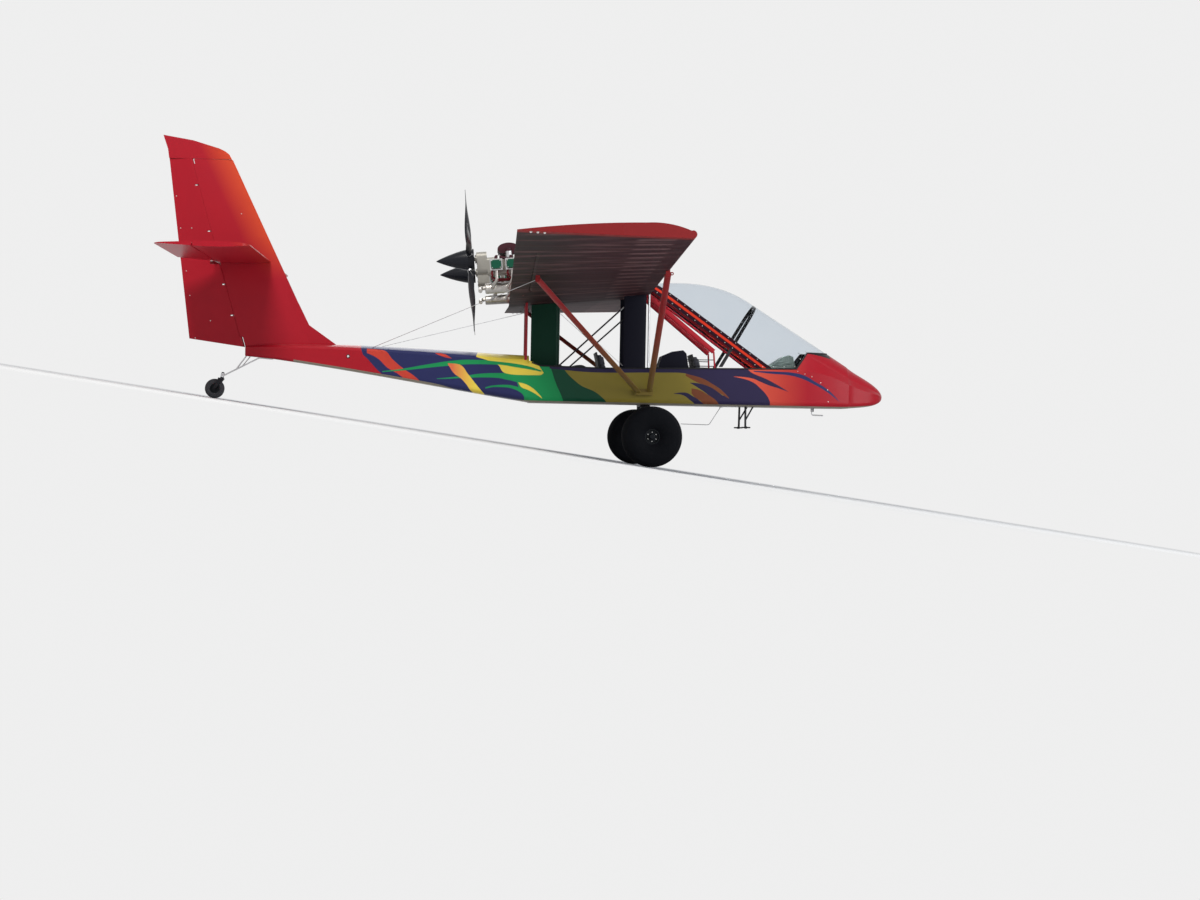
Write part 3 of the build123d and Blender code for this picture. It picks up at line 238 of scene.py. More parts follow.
# Painted shapes of the fuselage side in order, each between a lower and an upper line of x and z; the
# darkened ones in the middle are painted shadow of the wing
LIVERY_AND_WING_SHADOW = (
    (NAVY, ((-3.24, 0.95), (-3.23, 0.89), (-3.16, 0.821), (-3.05, 0.702), (-2.93, 0.594),
            (-2.86, 0.5), (-0.3, BOTTOM)), None),
    (ORANGE_RED, ((-3.17, 0.891), (-3.05, 0.833), (-2.93, 0.725), (-2.81, 0.657), (-2.71, 0.578),
                  (-2.62, 0.50), (-2.49, 0.48)),
     ((-3.17, 0.94), (-2.97, 0.92), (-2.88, 0.826), (-2.75, 0.718), (-2.63, 0.64), (-2.49, 0.51))),
    (GREEN, ((-1.60, 0.72), (-1.55, 0.64), (-1.46, 0.588), (-1.44, 0.50), (-1.38, 0.45),
             (-1.36, BOTTOM), (-0.3, BOTTOM)), None),
    # Painted shadow of the wing: the green field's forward part, darkened
    (GREEN_IN_WING_SHADOW, ((-1.16, 0.95), (-1.10, 0.80), (-1.03, 0.60), (-0.93, 0.36), (-0.9, BOTTOM),
                  (-0.3, BOTTOM)), None),
    # Painted shadow of the wing: the yellow field of the middle, darkened to olive
    (YELLOW_IN_WING_SHADOW, ((-1.05, 0.95), (-0.93, 0.74), (-0.82, 0.628), (-0.72, 0.556), (-0.60, 0.508),
              (-0.50, 0.439), (-0.44, 0.37), (-0.40, BOTTOM), (0.6, BOTTOM), (1.3, BOTTOM)), None),
    (GREEN, ((-2.99, 0.677), (-2.79, 0.695), (-2.61, 0.717), (-2.41, 0.743), (-2.19, 0.767),
             (-2.01, 0.783), (-1.83, 0.786), (-1.65, 0.78), (-1.51, 0.762)),
     ((-2.99, 0.687), (-2.79, 0.713), (-2.61, 0.747), (-2.41, 0.785), (-2.19, 0.82),
      (-2.01, 0.833), (-1.83, 0.833), (-1.65, 0.816), (-1.51, 0.802))),
    (GREEN, ((-2.37, 0.609), (-2.19, 0.618), (-2.01, 0.63), (-1.83, 0.637), (-1.71, 0.636),
             (-1.59, 0.618), (-1.46, 0.588), (-1.38, 0.543)),
     ((-2.37, 0.615), (-2.19, 0.634), (-2.01, 0.658), (-1.83, 0.682), (-1.65, 0.689),
      (-1.51, 0.69), (-1.38, 0.70))),
    (GREEN, ((-1.82, 0.512), (-1.70, 0.531), (-1.58, 0.529), (-1.50, 0.511), (-1.42, 0.472),
             (-1.37, 0.412)),
     ((-1.82, 0.525), (-1.70, 0.551), (-1.58, 0.557), (-1.50, 0.547), (-1.44, 0.532),
      (-1.37, 0.52))),
    (YELLOW, ((-1.93, 0.868), (-1.79, 0.827), (-1.68, 0.78), (-1.60, 0.69), (-1.40, 0.672),
              (-1.21, 0.673), (-1.165, 0.70)),
     ((-1.93, 0.88), (-1.79, 1.2), (-1.27, 1.2), (-1.24, 0.84), (-1.21, 0.768), (-1.165, 0.70))),
    (GREEN, ((-1.86, 0.79), (-1.65, 0.782), (-1.51, 0.762), (-1.35, 0.739), (-1.19, 0.712)),
     ((-1.86, 0.833), (-1.65, 0.816), (-1.51, 0.802), (-1.35, 0.775), (-1.19, 0.728))),
    (YELLOW, ((-1.45, 0.587), (-1.41, 0.532), (-1.34, 0.504), (-1.26, 0.465), (-1.18, 0.411)),
     ((-1.45, 0.588), (-1.38, 0.573), (-1.30, 0.535), (-1.22, 0.466), (-1.18, 0.42))),
    ("flame", ((-2.25, 0.78), (-2.17, 0.669), (-2.11, 0.63), (-2.05, 0.571), (-1.97, 0.471),
               (-1.90, 0.432), (-1.82, 0.43)),
     ((-2.25, 0.79), (-2.11, 0.775), (-2.02, 0.672), (-1.92, 0.55), (-1.82, 0.435))),
    (ORANGE_RED, ((-2.39, 0.895), (-2.27, 0.854), (-2.21, 0.845)),
     ((-2.39, 0.905), (-2.31, 0.898), (-2.21, 0.85))),
    (PURPLE, ((-1.10, 0.75), (-0.53, 0.718), (-0.02, 0.728), (0.36, 0.735), (0.52, 0.704),
              (0.72, 0.63), (0.88, 0.532), (0.90, 0.50), (0.905, BOTTOM), (2.5, BOTTOM)),
     None),
    (PURPLE, ((0.80, BOTTOM), (0.91, BOTTOM)), ((0.80, 0.36), (0.83, 0.40), (0.87, 0.46), (0.91, 0.53))),
    # Painted shadow of the wing: an orange flame darkened to brown
    (ORANGE_IN_WING_SHADOW, ((0.45, 0.70), (0.59, 0.627), (0.72, 0.585), (0.83, 0.52), (0.95, 0.452)),
     ((0.45, 0.726), (0.63, 0.68), (0.77, 0.608), (0.88, 0.532), (0.95, 0.462))),
    (PURPLE, ((0.50, 0.622), (0.59, 0.571), (0.72, 0.484), (0.84, 0.374), (0.90, BOTTOM)),
     ((0.50, 0.625), (0.59, 0.620), (0.72, 0.585), (0.83, 0.52), (0.90, 0.47))),
    # Painted shadow of the wing: an orange flame darkened to brown
    (ORANGE_IN_WING_SHADOW, ((0.52, 0.50), (0.57, 0.45), (0.64, 0.404), (0.70, BOTTOM), (0.86, BOTTOM)),
     ((0.52, 0.56), (0.59, 0.549), (0.72, 0.484), (0.80, 0.43), (0.86, 0.35))),
    (PURPLE, ((0.32, 0.495), (0.43, 0.478), (0.50, 0.43), (0.57, 0.364), (0.62, BOTTOM),
              (0.70, BOTTOM)),
     ((0.32, 0.50), (0.43, 0.512), (0.54, 0.469), (0.64, 0.404), (0.70, 0.35))),
    ("dawn", ((1.00, 0.702), (1.09, 0.687), (1.205, 0.651), (1.304, 0.580), (1.387, 0.492),
              (1.420, 0.427), (1.43, 0.378), (1.435, BOTTOM), (2.9, BOTTOM)), None),
    (PURPLE, ((0.985, 0.705), (1.09, 0.703), (1.204, 0.689), (1.302, 0.653), (1.40, 0.614),
              (1.515, 0.581), (1.637, 0.541)),
     ((0.985, 0.86), (1.12, 0.82), (1.203, 0.754), (1.285, 0.718), (1.367, 0.687), (1.448, 0.648),
      (1.53, 0.604), (1.637, 0.541))),
    (NAVY, ((1.227, 0.764), (1.43, 0.745), (1.626, 0.733), (1.772, 0.700), (1.92, 0.637),
            (2.067, 0.559), (2.166, 0.491), (2.24, 0.435)),
     ((1.227, 0.774), (1.527, 0.770), (1.674, 0.763), (1.804, 0.736), (1.935, 0.668), (2.083, 0.583),
      (2.182, 0.496), (2.24, 0.435))),
    (BLACK, ((1.80, 0.99), (1.87, 0.985), (1.95, 0.975), (2.14, 0.935)),
     ((1.80, 1.1), (1.90, 1.1), (2.0, 1.05), (2.14, 0.99))),
    (BELLY_GREY, ((-4.0, BOTTOM), (3.0, BOTTOM)),
     ((-4.0, 0.800), (-3.34, 0.706), (-2.45, 0.568), (-1.38, 0.388), (-0.9, 0.384), (2.16, 0.384),
      (2.62, 0.408), (3.0, 0.44))),
)
# Colours along x of the two blended paints: x of the first, x of the second, first, second
BLENDS = {
    "flame": (-2.2, -1.95, ORANGE, YELLOW),
    "dawn": (1.05, 1.85, (0.74, 0.115, 0.060), RED),
}


def blended(shader, name):
    """A paint that runs from one colour to another along x."""
    start, end, first, second = BLENDS[name]
    x = shader.level()[0]
    share = shader.math("DIVIDE", shader.math("SUBTRACT", x, start), end - start, clamp=True)
    return shader.mix(share, first, second)


def inward(shader):
    """1 on the inner faces of the hollow fuselage."""
    x, y, z, _ = shader.level()
    nx, ny, nz = shader.normal()
    across = shader.math("MULTIPLY", ny, y)
    facing = shader.math("MULTIPLY_ADD", nz, shader.math("SUBTRACT", z, HULL_MIDDLE_Z), across)
    walls = shader.above(-0.02, facing, 0.01)
    hollow = shader.math("MULTIPLY", shader.above(x, HOLLOW_X[0]), shader.above(HOLLOW_X[1], x))
    walls = shader.math("MULTIPLY", walls, hollow)
    ends = shader.above(shader.math("ABSOLUTE", nx), 0.9, 0.02)
    ends = shader.math("MULTIPLY", ends, shader.above(x, END_WALLS_X[0]))
    ends = shader.math("MULTIPLY", ends, shader.above(END_WALLS_X[1], x))
    return shader.math("MAXIMUM", walls, ends)


def hull_paint():
    """The flames and stripes of the fuselage, the same on both sides, with the wing's shadow painted
    over the middle.
    """
    shader = Shader("hull_livery_and_wing_shadow")
    color = RED
    for paint, lower, upper in LIVERY_AND_WING_SHADOW:
        if upper is None:
            upper = ((lower[0][0], TOP), (lower[-1][0] + 3, TOP))
            lower = lower + ((upper[1][0], lower[-1][1]),)
        tone = blended(shader, paint) if isinstance(paint, str) else paint
        color = shader.mix(shader.band(lower, upper), color, tone)
    haze = shader.noise(9, 4)
    color = shader.mix(shader.math("MULTIPLY", haze, 0.10), color, GRIME)
    color = shader.mix(inward(shader), color, INSIDE)
    gloss = shader.math("MULTIPLY_ADD", shader.noise(160), 0.08, 0.30)
    shader.bump(shader.noise(5, 2), 0.10, 0.006)
    return shader.finish(color, gloss, coat=0.04, specular=0.18)


# Wing paint: its other colours, among them painted shade and painted highlights, its ribs, the painted
# streaks' noise and threshold, and where its edges lie
WING_AFT_SHADE = (0.022, 0.013, 0.014)
WING_EDGE_RED = (0.23, 0.016, 0.017)
STREAK_HIGHLIGHT = (0.17, 0.085, 0.085)
RUNG_HIGHLIGHT = (0.30, 0.17, 0.17)
RIB_HIGHLIGHT = (0.13, 0.025, 0.025)
RIB_SPACING = 0.31
STREAK_STRETCH = (0.9, 5.5, 0.6)
STREAK_LEVEL = 0.53
RUNG_X = (-0.48, -0.14)
AFT_X = -1.05
LEAD_X = -0.09
TIP_RAKE = -0.3
TIP_Y = 4.97


def wing_paint_and_painted_light():
    """Red fabric, with painted shade making it dark maroon below, painted highlights as pale streaks
    along the chord and at the ribs, and red on top and all round.
    """
    shader = Shader("wing_paint_and_painted_light")
    x, y, _, _ = shader.level()
    out = shader.math("ABSOLUTE", y)
    phase = shader.math("FRACT", shader.math("DIVIDE", y, RIB_SPACING))
    near = shader.math("ABSOLUTE", shader.math("SUBTRACT", phase, 0.5))
    ridge = shader.math("POWER", shader.math("MULTIPLY", near, 2.0), 14.0)
    # Painted highlights: pale streaks along the chord, on the underside only
    streaks = shader.math("SUBTRACT", shader.noise(1.7, 3, STREAK_STRETCH), STREAK_LEVEL, clamp=True)
    pale = shader.math("MULTIPLY", streaks, 3.2, clamp=True)
    height = shader.normal()[2]
    under = shader.above(-0.3, height, 0.2)
    pale = shader.math("MULTIPLY", pale, under)
    # Painted shade: the underside darker than the red fabric, and darker still aft of AFT_X
    tone = shader.mix(shader.above(AFT_X, x, 0.5), WING_UNDER_SHADE, WING_AFT_SHADE)
    tone = shader.mix(pale, tone, STREAK_HIGHLIGHT)
    # Painted highlights on the underside's ribs between RUNG_X
    rung = shader.math("MULTIPLY", shader.above(near, 0.34, 0.05), shader.above(x, RUNG_X[0], 0.05))
    rung = shader.math("MULTIPLY", rung, shader.above(RUNG_X[1], x, 0.04))
    rung = shader.math("MULTIPLY", rung, under)
    tone = shader.mix(shader.math("MULTIPLY", rung, 0.35), tone, RUNG_HIGHLIGHT)
    # Painted highlight along every rib line; the ribs' relief is the bump below
    tone = shader.mix(shader.math("MULTIPLY", ridge, 0.25), tone, RIB_HIGHLIGHT)
    lead = shader.math("MULTIPLY", shader.above(x, LEAD_X, 0.03), shader.above(height, -0.55, 0.2))
    raked = shader.math("SUBTRACT", out, shader.math("MULTIPLY", x, TIP_RAKE))
    tip = shader.above(raked, TIP_Y, 0.06)
    edge = shader.math("MAXIMUM", shader.math("MAXIMUM", lead, tip), shader.above(height, 0.2, 0.2))
    tone = shader.mix(edge, tone, WING_EDGE_RED)
    shader.bump(ridge, 0.6, 0.005)
    return shader.finish(tone, 0.62, specular=0.12)


# Fin paint: its darker red, and the bloom's colour, foot, and line along the swept leading edge
SHADE_TONE = (0.22, 0.006, 0.020)
BLOOM_TONE = (0.66, 0.075, 0.018)
BLOOM_FOOT_Z = 1.95
BLOOM_LINE = -3.43
FIN_SWEEP = 0.478


def tail_paint():
    """Red tail with an orange bloom towards the fin's upper leading edge."""
    shader = Shader("tail_paint")
    x, _, z, _ = shader.level()
    fore = shader.above(shader.math("MULTIPLY_ADD", z, FIN_SWEEP, x), BLOOM_LINE, 0.30)
    bloom = shader.math("MULTIPLY", fore, shader.above(z, BLOOM_FOOT_Z, 0.5))
    tone = shader.mix(shader.math("MULTIPLY", bloom, 0.85), RED, BLOOM_TONE)
    shade = shader.math("MULTIPLY", shader.noise(3, 3), 0.25)
    tone = shader.mix(shade, tone, SHADE_TONE)
    shader.bump(shader.noise(7, 2), 0.12, 0.004)
    return shader.finish(tone, 0.36, coat=0.04, specular=0.18)


# Strut paint from the foot up, and where each blend starts and how far it runs, in z
STRUT_TONES = ((0.20, 0.14, 0.028), (0.24, 0.055, 0.028), (0.28, 0.018, 0.020))
STRUT_LOW = (0.50, 0.50)
STRUT_HIGH = (0.95, 0.40)


def strut_paint():
    """Lift strut paint, yellow at the foot through orange to red at the top."""
    shader = Shader("strut_paint")
    z = shader.level()[2]
    low, high = (shader.math("DIVIDE", shader.math("SUBTRACT", z, start), run, clamp=True)
                 for start, run in (STRUT_LOW, STRUT_HIGH))
    tone = shader.mix(low, STRUT_TONES[0], STRUT_TONES[1])
    tone = shader.mix(high, tone, STRUT_TONES[2])
    shader.bump(shader.noise(60), 0.05, 0.001)
    return shader.finish(tone, 0.36, coat=0.04, specular=0.18)


def glazing():
    """Clear windshield sheet with two dark bands and a red stripe painted along its aft edge."""
    shader = Shader("clear_glazing")
    x, _, z, _ = shader.level()
    haze = shader.noise(3, 2)
    tint = shader.mix(haze, *GLAZING_TINTS)
    along_x = shader.math("MULTIPLY", shader.math("SUBTRACT", x, EDGE_TOP[0]), EDGE_WAY[0])
    inset = shader.math("MULTIPLY_ADD", shader.math("SUBTRACT", z, EDGE_TOP[1]), EDGE_WAY[1], along_x)
    painted = shader.above(BAND_END, inset, 0.002)
    stripe = shader.math("MULTIPLY", shader.above(inset, STRIPE[0]), shader.above(STRIPE[1], inset))
    paint = shader.mix(stripe, BAND_TONE, STRIPE_TONE)
    tone = shader.mix(painted, tint, paint)
    clear = shader.math("SUBTRACT", 1.0, painted)
    shader.link(clear, shader.surface.inputs["Transmission Weight"])
    shader.surface.inputs["IOR"].default_value = GLAZING_IOR
    return shader.finish(tone, shader.math("MULTIPLY_ADD", painted, 0.35, 0.015))


def rubber():
    """Worn black tyre rubber."""
    shader = Shader("tyre_rubber")
    dust = shader.noise(30, 5)
    tone = shader.mix(dust, (0.003, 0.004, 0.006), (0.008, 0.008, 0.010))
    shader.bump(shader.noise(240, 2), 0.25, 0.001)
    return shader.finish(tone, 0.78, specular=0.10)


def fabric(name, color):
    """Woven upholstery."""
    shader = Shader(name)
    weave = shader.tree.nodes.new("ShaderNodeTexWave")
    weave.inputs["Scale"].default_value = 180
    weave.inputs["Distortion"].default_value = 1.5
    shader.link(shader.level()[3], weave.inputs["Vector"])
    cloth = weave.outputs["Fac"]
    tone = shader.mix(cloth, color, tuple(c * 1.6 + 0.01 for c in color))
    shader.bump(cloth, 0.3, 0.001)
    shader.surface.inputs["Sheen Weight"].default_value = 0.3
    return shader.finish(tone, 0.9)


# Tones of the cabane tubes and the pylon, and where the tubes' red and black paint end and the
# pylon's pale strip lies, in x
BARE_TONES = ((0.50, 0.50, 0.51), (0.60, 0.60, 0.61))
BLACK_TUBE = (0.020, 0.012, 0.018)
RED_TUBE_TONE = (0.30, 0.012, 0.020)
PYLON_TONES = ((0.002, 0.026, 0.014), (0.003, 0.034, 0.018))
STRIP_TONE = (0.20, 0.23, 0.19)
RED_BAY_X = -1.2
BLACK_BAY_X = -0.30
STRIP_X = (-1.452, -1.408)


def cabane_paint():
    """Bare tubes that are painted red in the rear bay and black in the middle one."""
    shader = Shader("cabane_paint")
    x = shader.level()[0]
    aft = shader.above(RED_BAY_X, x, 0.01)
    dark = shader.above(BLACK_BAY_X, x, 0.01)
    grained = shader.noise(120)
    bare = shader.mix(grained, *BARE_TONES)
    metal = shader.math("MULTIPLY", shader.math("SUBTRACT", 1.0, dark), 0.9)
    painted = shader.mix(aft, BLACK_TUBE, RED_TUBE_TONE)
    shader.bump(grained, 0.06, 0.001)
    return shader.finish(shader.mix(dark, bare, painted), 0.34, metal, 0.0, 0.2)


def pylon_paint():
    """Dark green pylon with a pale strip down its aft edge."""
    shader = Shader("pylon_paint")
    x = shader.level()[0]
    strip = shader.math("MULTIPLY", shader.above(x, STRIP_X[0]), shader.above(STRIP_X[1], x))
    grained = shader.noise(60)
    green = shader.mix(grained, *PYLON_TONES)
    shader.bump(grained, 0.05, 0.001)
    return shader.finish(shader.mix(strip, green, STRIP_TONE), 0.45, 0.0, 0.0, 0.12)


SILVER = plain("silver_metal", (0.55, 0.55, 0.56), 0.32, metallic=0.9)
CAST = plain("cast_case", (0.31, 0.30, 0.27), 0.50, metallic=0.6, grain=300, relief=0.2)
ALLOY = plain("wheel_alloy", (0.50, 0.50, 0.52), 0.35, metallic=0.8)
DARK_STEEL = plain("dark_steel", (0.022, 0.022, 0.026), 0.45, metallic=0.3)
HUB_DARK = plain("hub_dark", (0.008, 0.010, 0.013), 0.42, metallic=0.2)
BLACK_GLOSS = plain("black_gloss", (0.006, 0.007, 0.011), 0.28, coat=0.05)
BLACK_MATT = plain("black_matt", (0.018, 0.018, 0.020), 0.6)
RED_TUBE = plain("red_tube_paint", (0.36, 0.012, 0.022), 0.34, coat=0.05)
ROCKER_GREEN = plain("rocker_green", (0.003, 0.075, 0.040), 0.35, coat=0.05)
AIRBOX = plain("airbox_dark", (0.045, 0.010, 0.016), 0.45)
EXHAUST = plain("exhaust_steel", (0.52, 0.50, 0.47), 0.34, metallic=0.85, grain=40, wear=0.3)
CABANE = cabane_paint()
PYLON_GREEN = pylon_paint()
PILLAR = plain("pillar_navy", (0.006, 0.006, 0.013), 0.6, specular=0.12)
POD = plain("pod_grey_green", (0.22, 0.27, 0.235), 0.55)
TAIL_RUBBER = plain("tail_rubber", (0.085, 0.085, 0.090), 0.8, grain=60, relief=0.2, specular=0.1)
HULL = hull_paint()
WING = wing_paint_and_painted_light()
TAIL = tail_paint()
STRUT = strut_paint()
GLASS = glazing()
RUBBER = rubber()
SEAT_CLOTH = fabric("seat_cloth", (0.030, 0.030, 0.040))
BAG_CLOTH = fabric("bag_cloth", (0.012, 0.012, 0.015))

FINISHES = {
    "nose_cone": HULL, "cockpit_tub": HULL, "tail_boom": HULL, "windshield_hoop": BLACK_MATT,
    "windshield": GLASS, "windshield_frame": RED_TUBE, "wing_centre": WING, "rear_pylon": PYLON_GREEN,
    "cabane_tubes": CABANE, "fin": TAIL, "rudder": TAIL, "stabiliser": TAIL, "elevator": TAIL,
    "tail_stays": SILVER, "main_gear": DARK_STEEL, "tail_spring": SILVER, "tail_fork": DARK_STEEL,
    "tail_tyre": TAIL_RUBBER, "tail_hub": HUB_DARK, "front_seat": BLACK_MATT, "rear_seat": BLACK_MATT,
    "instrument_pod": POD, "rear_pod": PILLAR, "cockpit_controls": DARK_STEEL,
    "boarding_steps": BLACK_MATT, "belly_probes": SILVER,
}
SIDE_FINISHES = {
    "wing": WING, "aileron": WING, "lift_struts": STRUT, "cabane_fairing": PILLAR,
    "engine_block": CAST, "engine_cylinders": SILVER, "rocker_covers": ROCKER_GREEN,
    "engine_intake": AIRBOX, "engine_exhaust": EXHAUST, "oil_cooler": ALLOY,
    "engine_mount": RED_TUBE, "propeller": BLACK_GLOSS, "spinner": BLACK_GLOSS,
}
for side, word in SIDES:
    FINISHES[f"main_{word}_tyre"] = RUBBER
    FINISHES[f"main_{word}_hub"] = HUB_DARK
    for name, finish in SIDE_FINISHES.items():
        FINISHES[f"{name}_{word}"] = finish
for name, finish in FINISHES.items():
    node = nodes[name]
    node.data.materials.clear()
    node.data.materials.append(finish)


# Making pieces
def add_piece(name, data, material, body):
    """A new piece from a mesh or a curve, riding on a body."""
    data.materials.append(material)
    piece = bpy.data.objects.new(name, data)
    bpy.context.scene.collection.objects.link(piece)
    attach(piece, body)


def add_mesh(name, shape, material, body):
    """A new piece from a bmesh, which is freed."""
    mesh = bpy.data.meshes.new(name)
    shape.to_mesh(mesh)
    shape.free()
    add_piece(name, mesh, material, body)


def turn_to(way):
    """Rotation that turns +Z to a direction."""
    return Vector(way).to_track_quat("Z", "Y").to_matrix().to_4x4()


def screw_heads(name, places, radius, height, material, body, sides=10):
    """Low domed heads at places, each a point and the outward direction there."""
    heads = bmesh.new()
    for point, way in places:
        matrix = Matrix.Translation(point) @ turn_to(way)
        bmesh.ops.create_cone(heads, cap_ends=True, segments=sides, radius1=radius,
                              radius2=radius * 0.55, depth=height,
                              matrix=matrix @ Matrix.Translation((0, 0, height * 0.3)))
    add_mesh(name, heads, material, body)


def tube(name, points, radius, material, body, closed=False):
    """A round tube along points."""
    curve = bpy.data.curves.new(name, "CURVE")
    curve.dimensions = "3D"
    curve.bevel_depth = radius
    curve.bevel_resolution = 3
    curve.use_fill_caps = True
    spline = curve.splines.new("POLY")
    spline.points.add(len(points) - 1)
    for point, place in zip(spline.points, points):
        point.co = (*place, 1)
    spline.use_cyclic_u = closed
    add_piece(name, curve, material, body)


# The CAD's skin, found by rays from the side; CLEAR_Y lies outside of all that they look for
CLEAR_Y = 3.0


def skin(*names):
    """Search tree over the meshes of some CAD nodes."""
    joined = bmesh.new()
    for name in names:
        joined.from_mesh(nodes[name].data)
    tree = BVHTree.FromBMesh(joined)
    joined.free()
    return tree


def on_skin(tree, x, z, side):
    """Point and outward direction of the skin at the level frame's x and z, seen from a side."""
    start = at(x, side * CLEAR_Y, z)
    way = PARKED.to_3x3() @ Vector((0, -side, 0))
    point, normal, _, _ = tree.ray_cast(start, way)
    if point is None or normal is None:
        return None
    if normal.dot(way) > 0:
        normal = -normal
    return point, normal


def along(route, spacing):
    """Points at even spacing along a side-view route of x and z."""
    points = []
    for (xa, za), (xb, zb) in zip(route, route[1:]):
        length = ((xb - xa) ** 2 + (zb - za) ** 2) ** 0.5
        count = max(round(length / spacing), 1)
        points += [(xa + (xb - xa) * k / count, za + (zb - za) * k / count) for k in range(count)]
    return points + [route[-1]]


def screws_along(name, tree, routes, spacing, radius, material=None):
    """Screw heads at even spacing along side-view routes, on both sides."""
    spots = [spot for route in routes for spot in along(route, spacing)]
    found = [on_skin(tree, x, z, side) for side, _ in SIDES for x, z in spots]
    places = [place for place in found if place]
    screw_heads(name, places, radius, radius * 0.8, material or SCREW, "airframe")


SCREW = plain("screw_zinc", (0.72, 0.72, 0.70), 0.28, metallic=0.85)
HOSE_RED = plain("hose_maroon", (0.16, 0.012, 0.018), 0.45)
LEAD_BLACK = plain("lead_black", (0.015, 0.015, 0.015), 0.5)
LAMP_WHITE = plain("lamp_white", (0.80, 0.80, 0.78), 0.2, coat=0.5)

hull_skin = skin("nose_cone", "cockpit_tub", "tail_boom")
glass_skin = skin("windshield")
rim_skin = skin("nose_cone", "cockpit_tub", "windshield")

# Screw lines, in the side view's x and z
NOSE_SCREWS = ((1.735, 0.780), (1.90, 0.722), (2.005, 0.655), (2.085, 0.575), (2.10, 0.440))
GLASS_EDGE = ((1.240, 0.844), (0.115, 1.646))
GLASS_BAND = ((1.268, 0.909), (0.180, 1.686))
GLASS_FOOT = ((1.33, 0.825), (1.70, 0.832), (1.835, 1.010))
DECK_JOINT = ((-1.28, 0.800), (-2.45, 0.862), (-3.34, 0.905), (-4.20, 0.925))
screws_along("nose_screws", hull_skin, [NOSE_SCREWS], 0.105, 0.0065)
screws_along("windshield_edge_screws", glass_skin, [GLASS_EDGE, GLASS_BAND], 0.105, 0.0075)
screws_along("windshield_foot_screws", glass_skin, [GLASS_FOOT], 0.11, 0.0065)
screws_along("deck_rivets", hull_skin, [DECK_JOINT], 0.075, 0.0035, HULL)

# Studs of the fin and the rudder, in the side view's x and z
RUDDER_STUDS = ((-5.360, 2.630), (-5.307, 2.268), (-5.182, 2.270), (-5.260, 1.947), (-5.234, 1.783),
                (-5.190, 1.506), (-4.951, 1.223), (-5.121, 1.025), (-5.185, 0.985))
FIN_STUDS = ((-5.010, 2.469), (-4.624, 2.446), (-4.80, 1.30))
STUD_R = 0.008
STUD_HEIGHT = 0.007
for name, studs, body in (("rudder", RUDDER_STUDS, "rudder"), ("fin", FIN_STUDS, "airframe")):
    tail_skin = skin(name)
    found = [on_skin(tail_skin, x, z, side) for side, _ in SIDES for x, z in studs]
    screw_heads(f"{name}_studs", [place for place in found if place], STUD_R, STUD_HEIGHT, SCREW,
                body)


# Thin lips that narrow the running gaps: steps along one, its thickness, how far its root goes into
# the fixed surface and its edge stays off the hinge line, and the widths of gap that get one
LIP_STEPS = 40
LIP_THICK = 0.0014
LIP_START = 0.003
LIP_END = 0.012
LIP_GAPS = (0.015, 0.08)
# Where the surface's half thickness is taken, from how far off, and the least that counts
LIP_SEAT = 0.004
CAST_FROM = 0.3
LEAST_HALF = 0.002
# The fin's top, as the x of its aft and fore ends and its z, and the height of the lips on it
FIN_TOP = (-5.16, -4.70, 3.046)
CAP_LIP = 0.0085


def join_rows(mesh, rows):
    """Walls between rows of four corners, closed at both ends."""
    mesh.faces.new(rows[0])
    for last, row in zip(rows, rows[1:]):
        for i in range(4):
            mesh.faces.new((last[i], last[(i + 1) % 4], row[(i + 1) % 4], row[i]))
    mesh.faces.new(rows[-1][::-1])


def gap_lips(name, fixed, joint, reach, out, material):
    """Lips on both faces of a fixed surface, in the gap ahead of a hinged one."""
    tree = skin(fixed)
    pivot, way = joint_at[joint], joint_way[joint]
    out = (out - way * out.dot(way)).normalized()
    fore = way.cross(out)
    fore = fore if fore.x > 0 else -fore
    lips = bmesh.new()
    for sign in (1, -1):
        rows = []
        for k in range(LIP_STEPS + 1):
            spot = pivot + way * (reach[0] + (reach[1] - reach[0]) * k / LIP_STEPS)
            _, _, _, gap = tree.ray_cast(spot, fore)
            if gap is None or not LIP_GAPS[0] < gap < LIP_GAPS[1]:
                continue
            high = spot + fore * (gap + LIP_SEAT) + out * (sign * CAST_FROM)
            _, _, _, drop = tree.ray_cast(high, -sign * out)
            if drop is None or drop > CAST_FROM - LEAST_HALF:
                continue
            height = CAST_FROM - drop
            corners = ((gap + LIP_START, height - LIP_THICK), (gap + LIP_START, height),
                       (LIP_END, height), (LIP_END, height - LIP_THICK))
            rows.append([lips.verts.new(spot + fore * a + out * (sign * b)) for a, b in corners])
        join_rows(lips, rows)
    bmesh.ops.recalc_face_normals(lips, faces=lips.faces)
    add_mesh(name, lips, material, "airframe")


def cap_lips():
    """Lips on the fin's top, in the gap under the rudder's horn."""
    tree = skin("fin")
    rise = PARKED.to_3x3() @ Vector((0, 0, CAP_LIP))
    aft, fore, z = FIN_TOP
    for side, word in SIDES:
        lip = bmesh.new()
        rows = []
        for k in range(LIP_STEPS + 1):
            found = on_skin(tree, aft + (fore - aft) * k / LIP_STEPS, z, side)
            if not found or abs(found[0].y) < 2 * LIP_THICK:
                continue
            outer = found[0]
            inner = outer - Vector((0, side * LIP_THICK, 0))
            rows.append([lip.verts.new(v) for v in (inner, outer, outer + rise, inner + rise)])
        join_rows(lip, rows)
        bmesh.ops.recalc_face_normals(lip, faces=lip.faces)
        add_mesh(f"fin_cap_lip_{word}", lip, TAIL, "airframe")


cap_lips()
gap_lips("rudder_gap_lips", "fin", "rudder_turn", (0.03, 2.06), Vector((0, 1, 0)), TAIL)
for side, word in SIDES:
    gap_lips(f"aileron_gap_lips_{word}", f"wing_{word}", f"aileron_{word}_turn", (-1.43, 1.43),
             Vector((0, 0, 1)), WING)

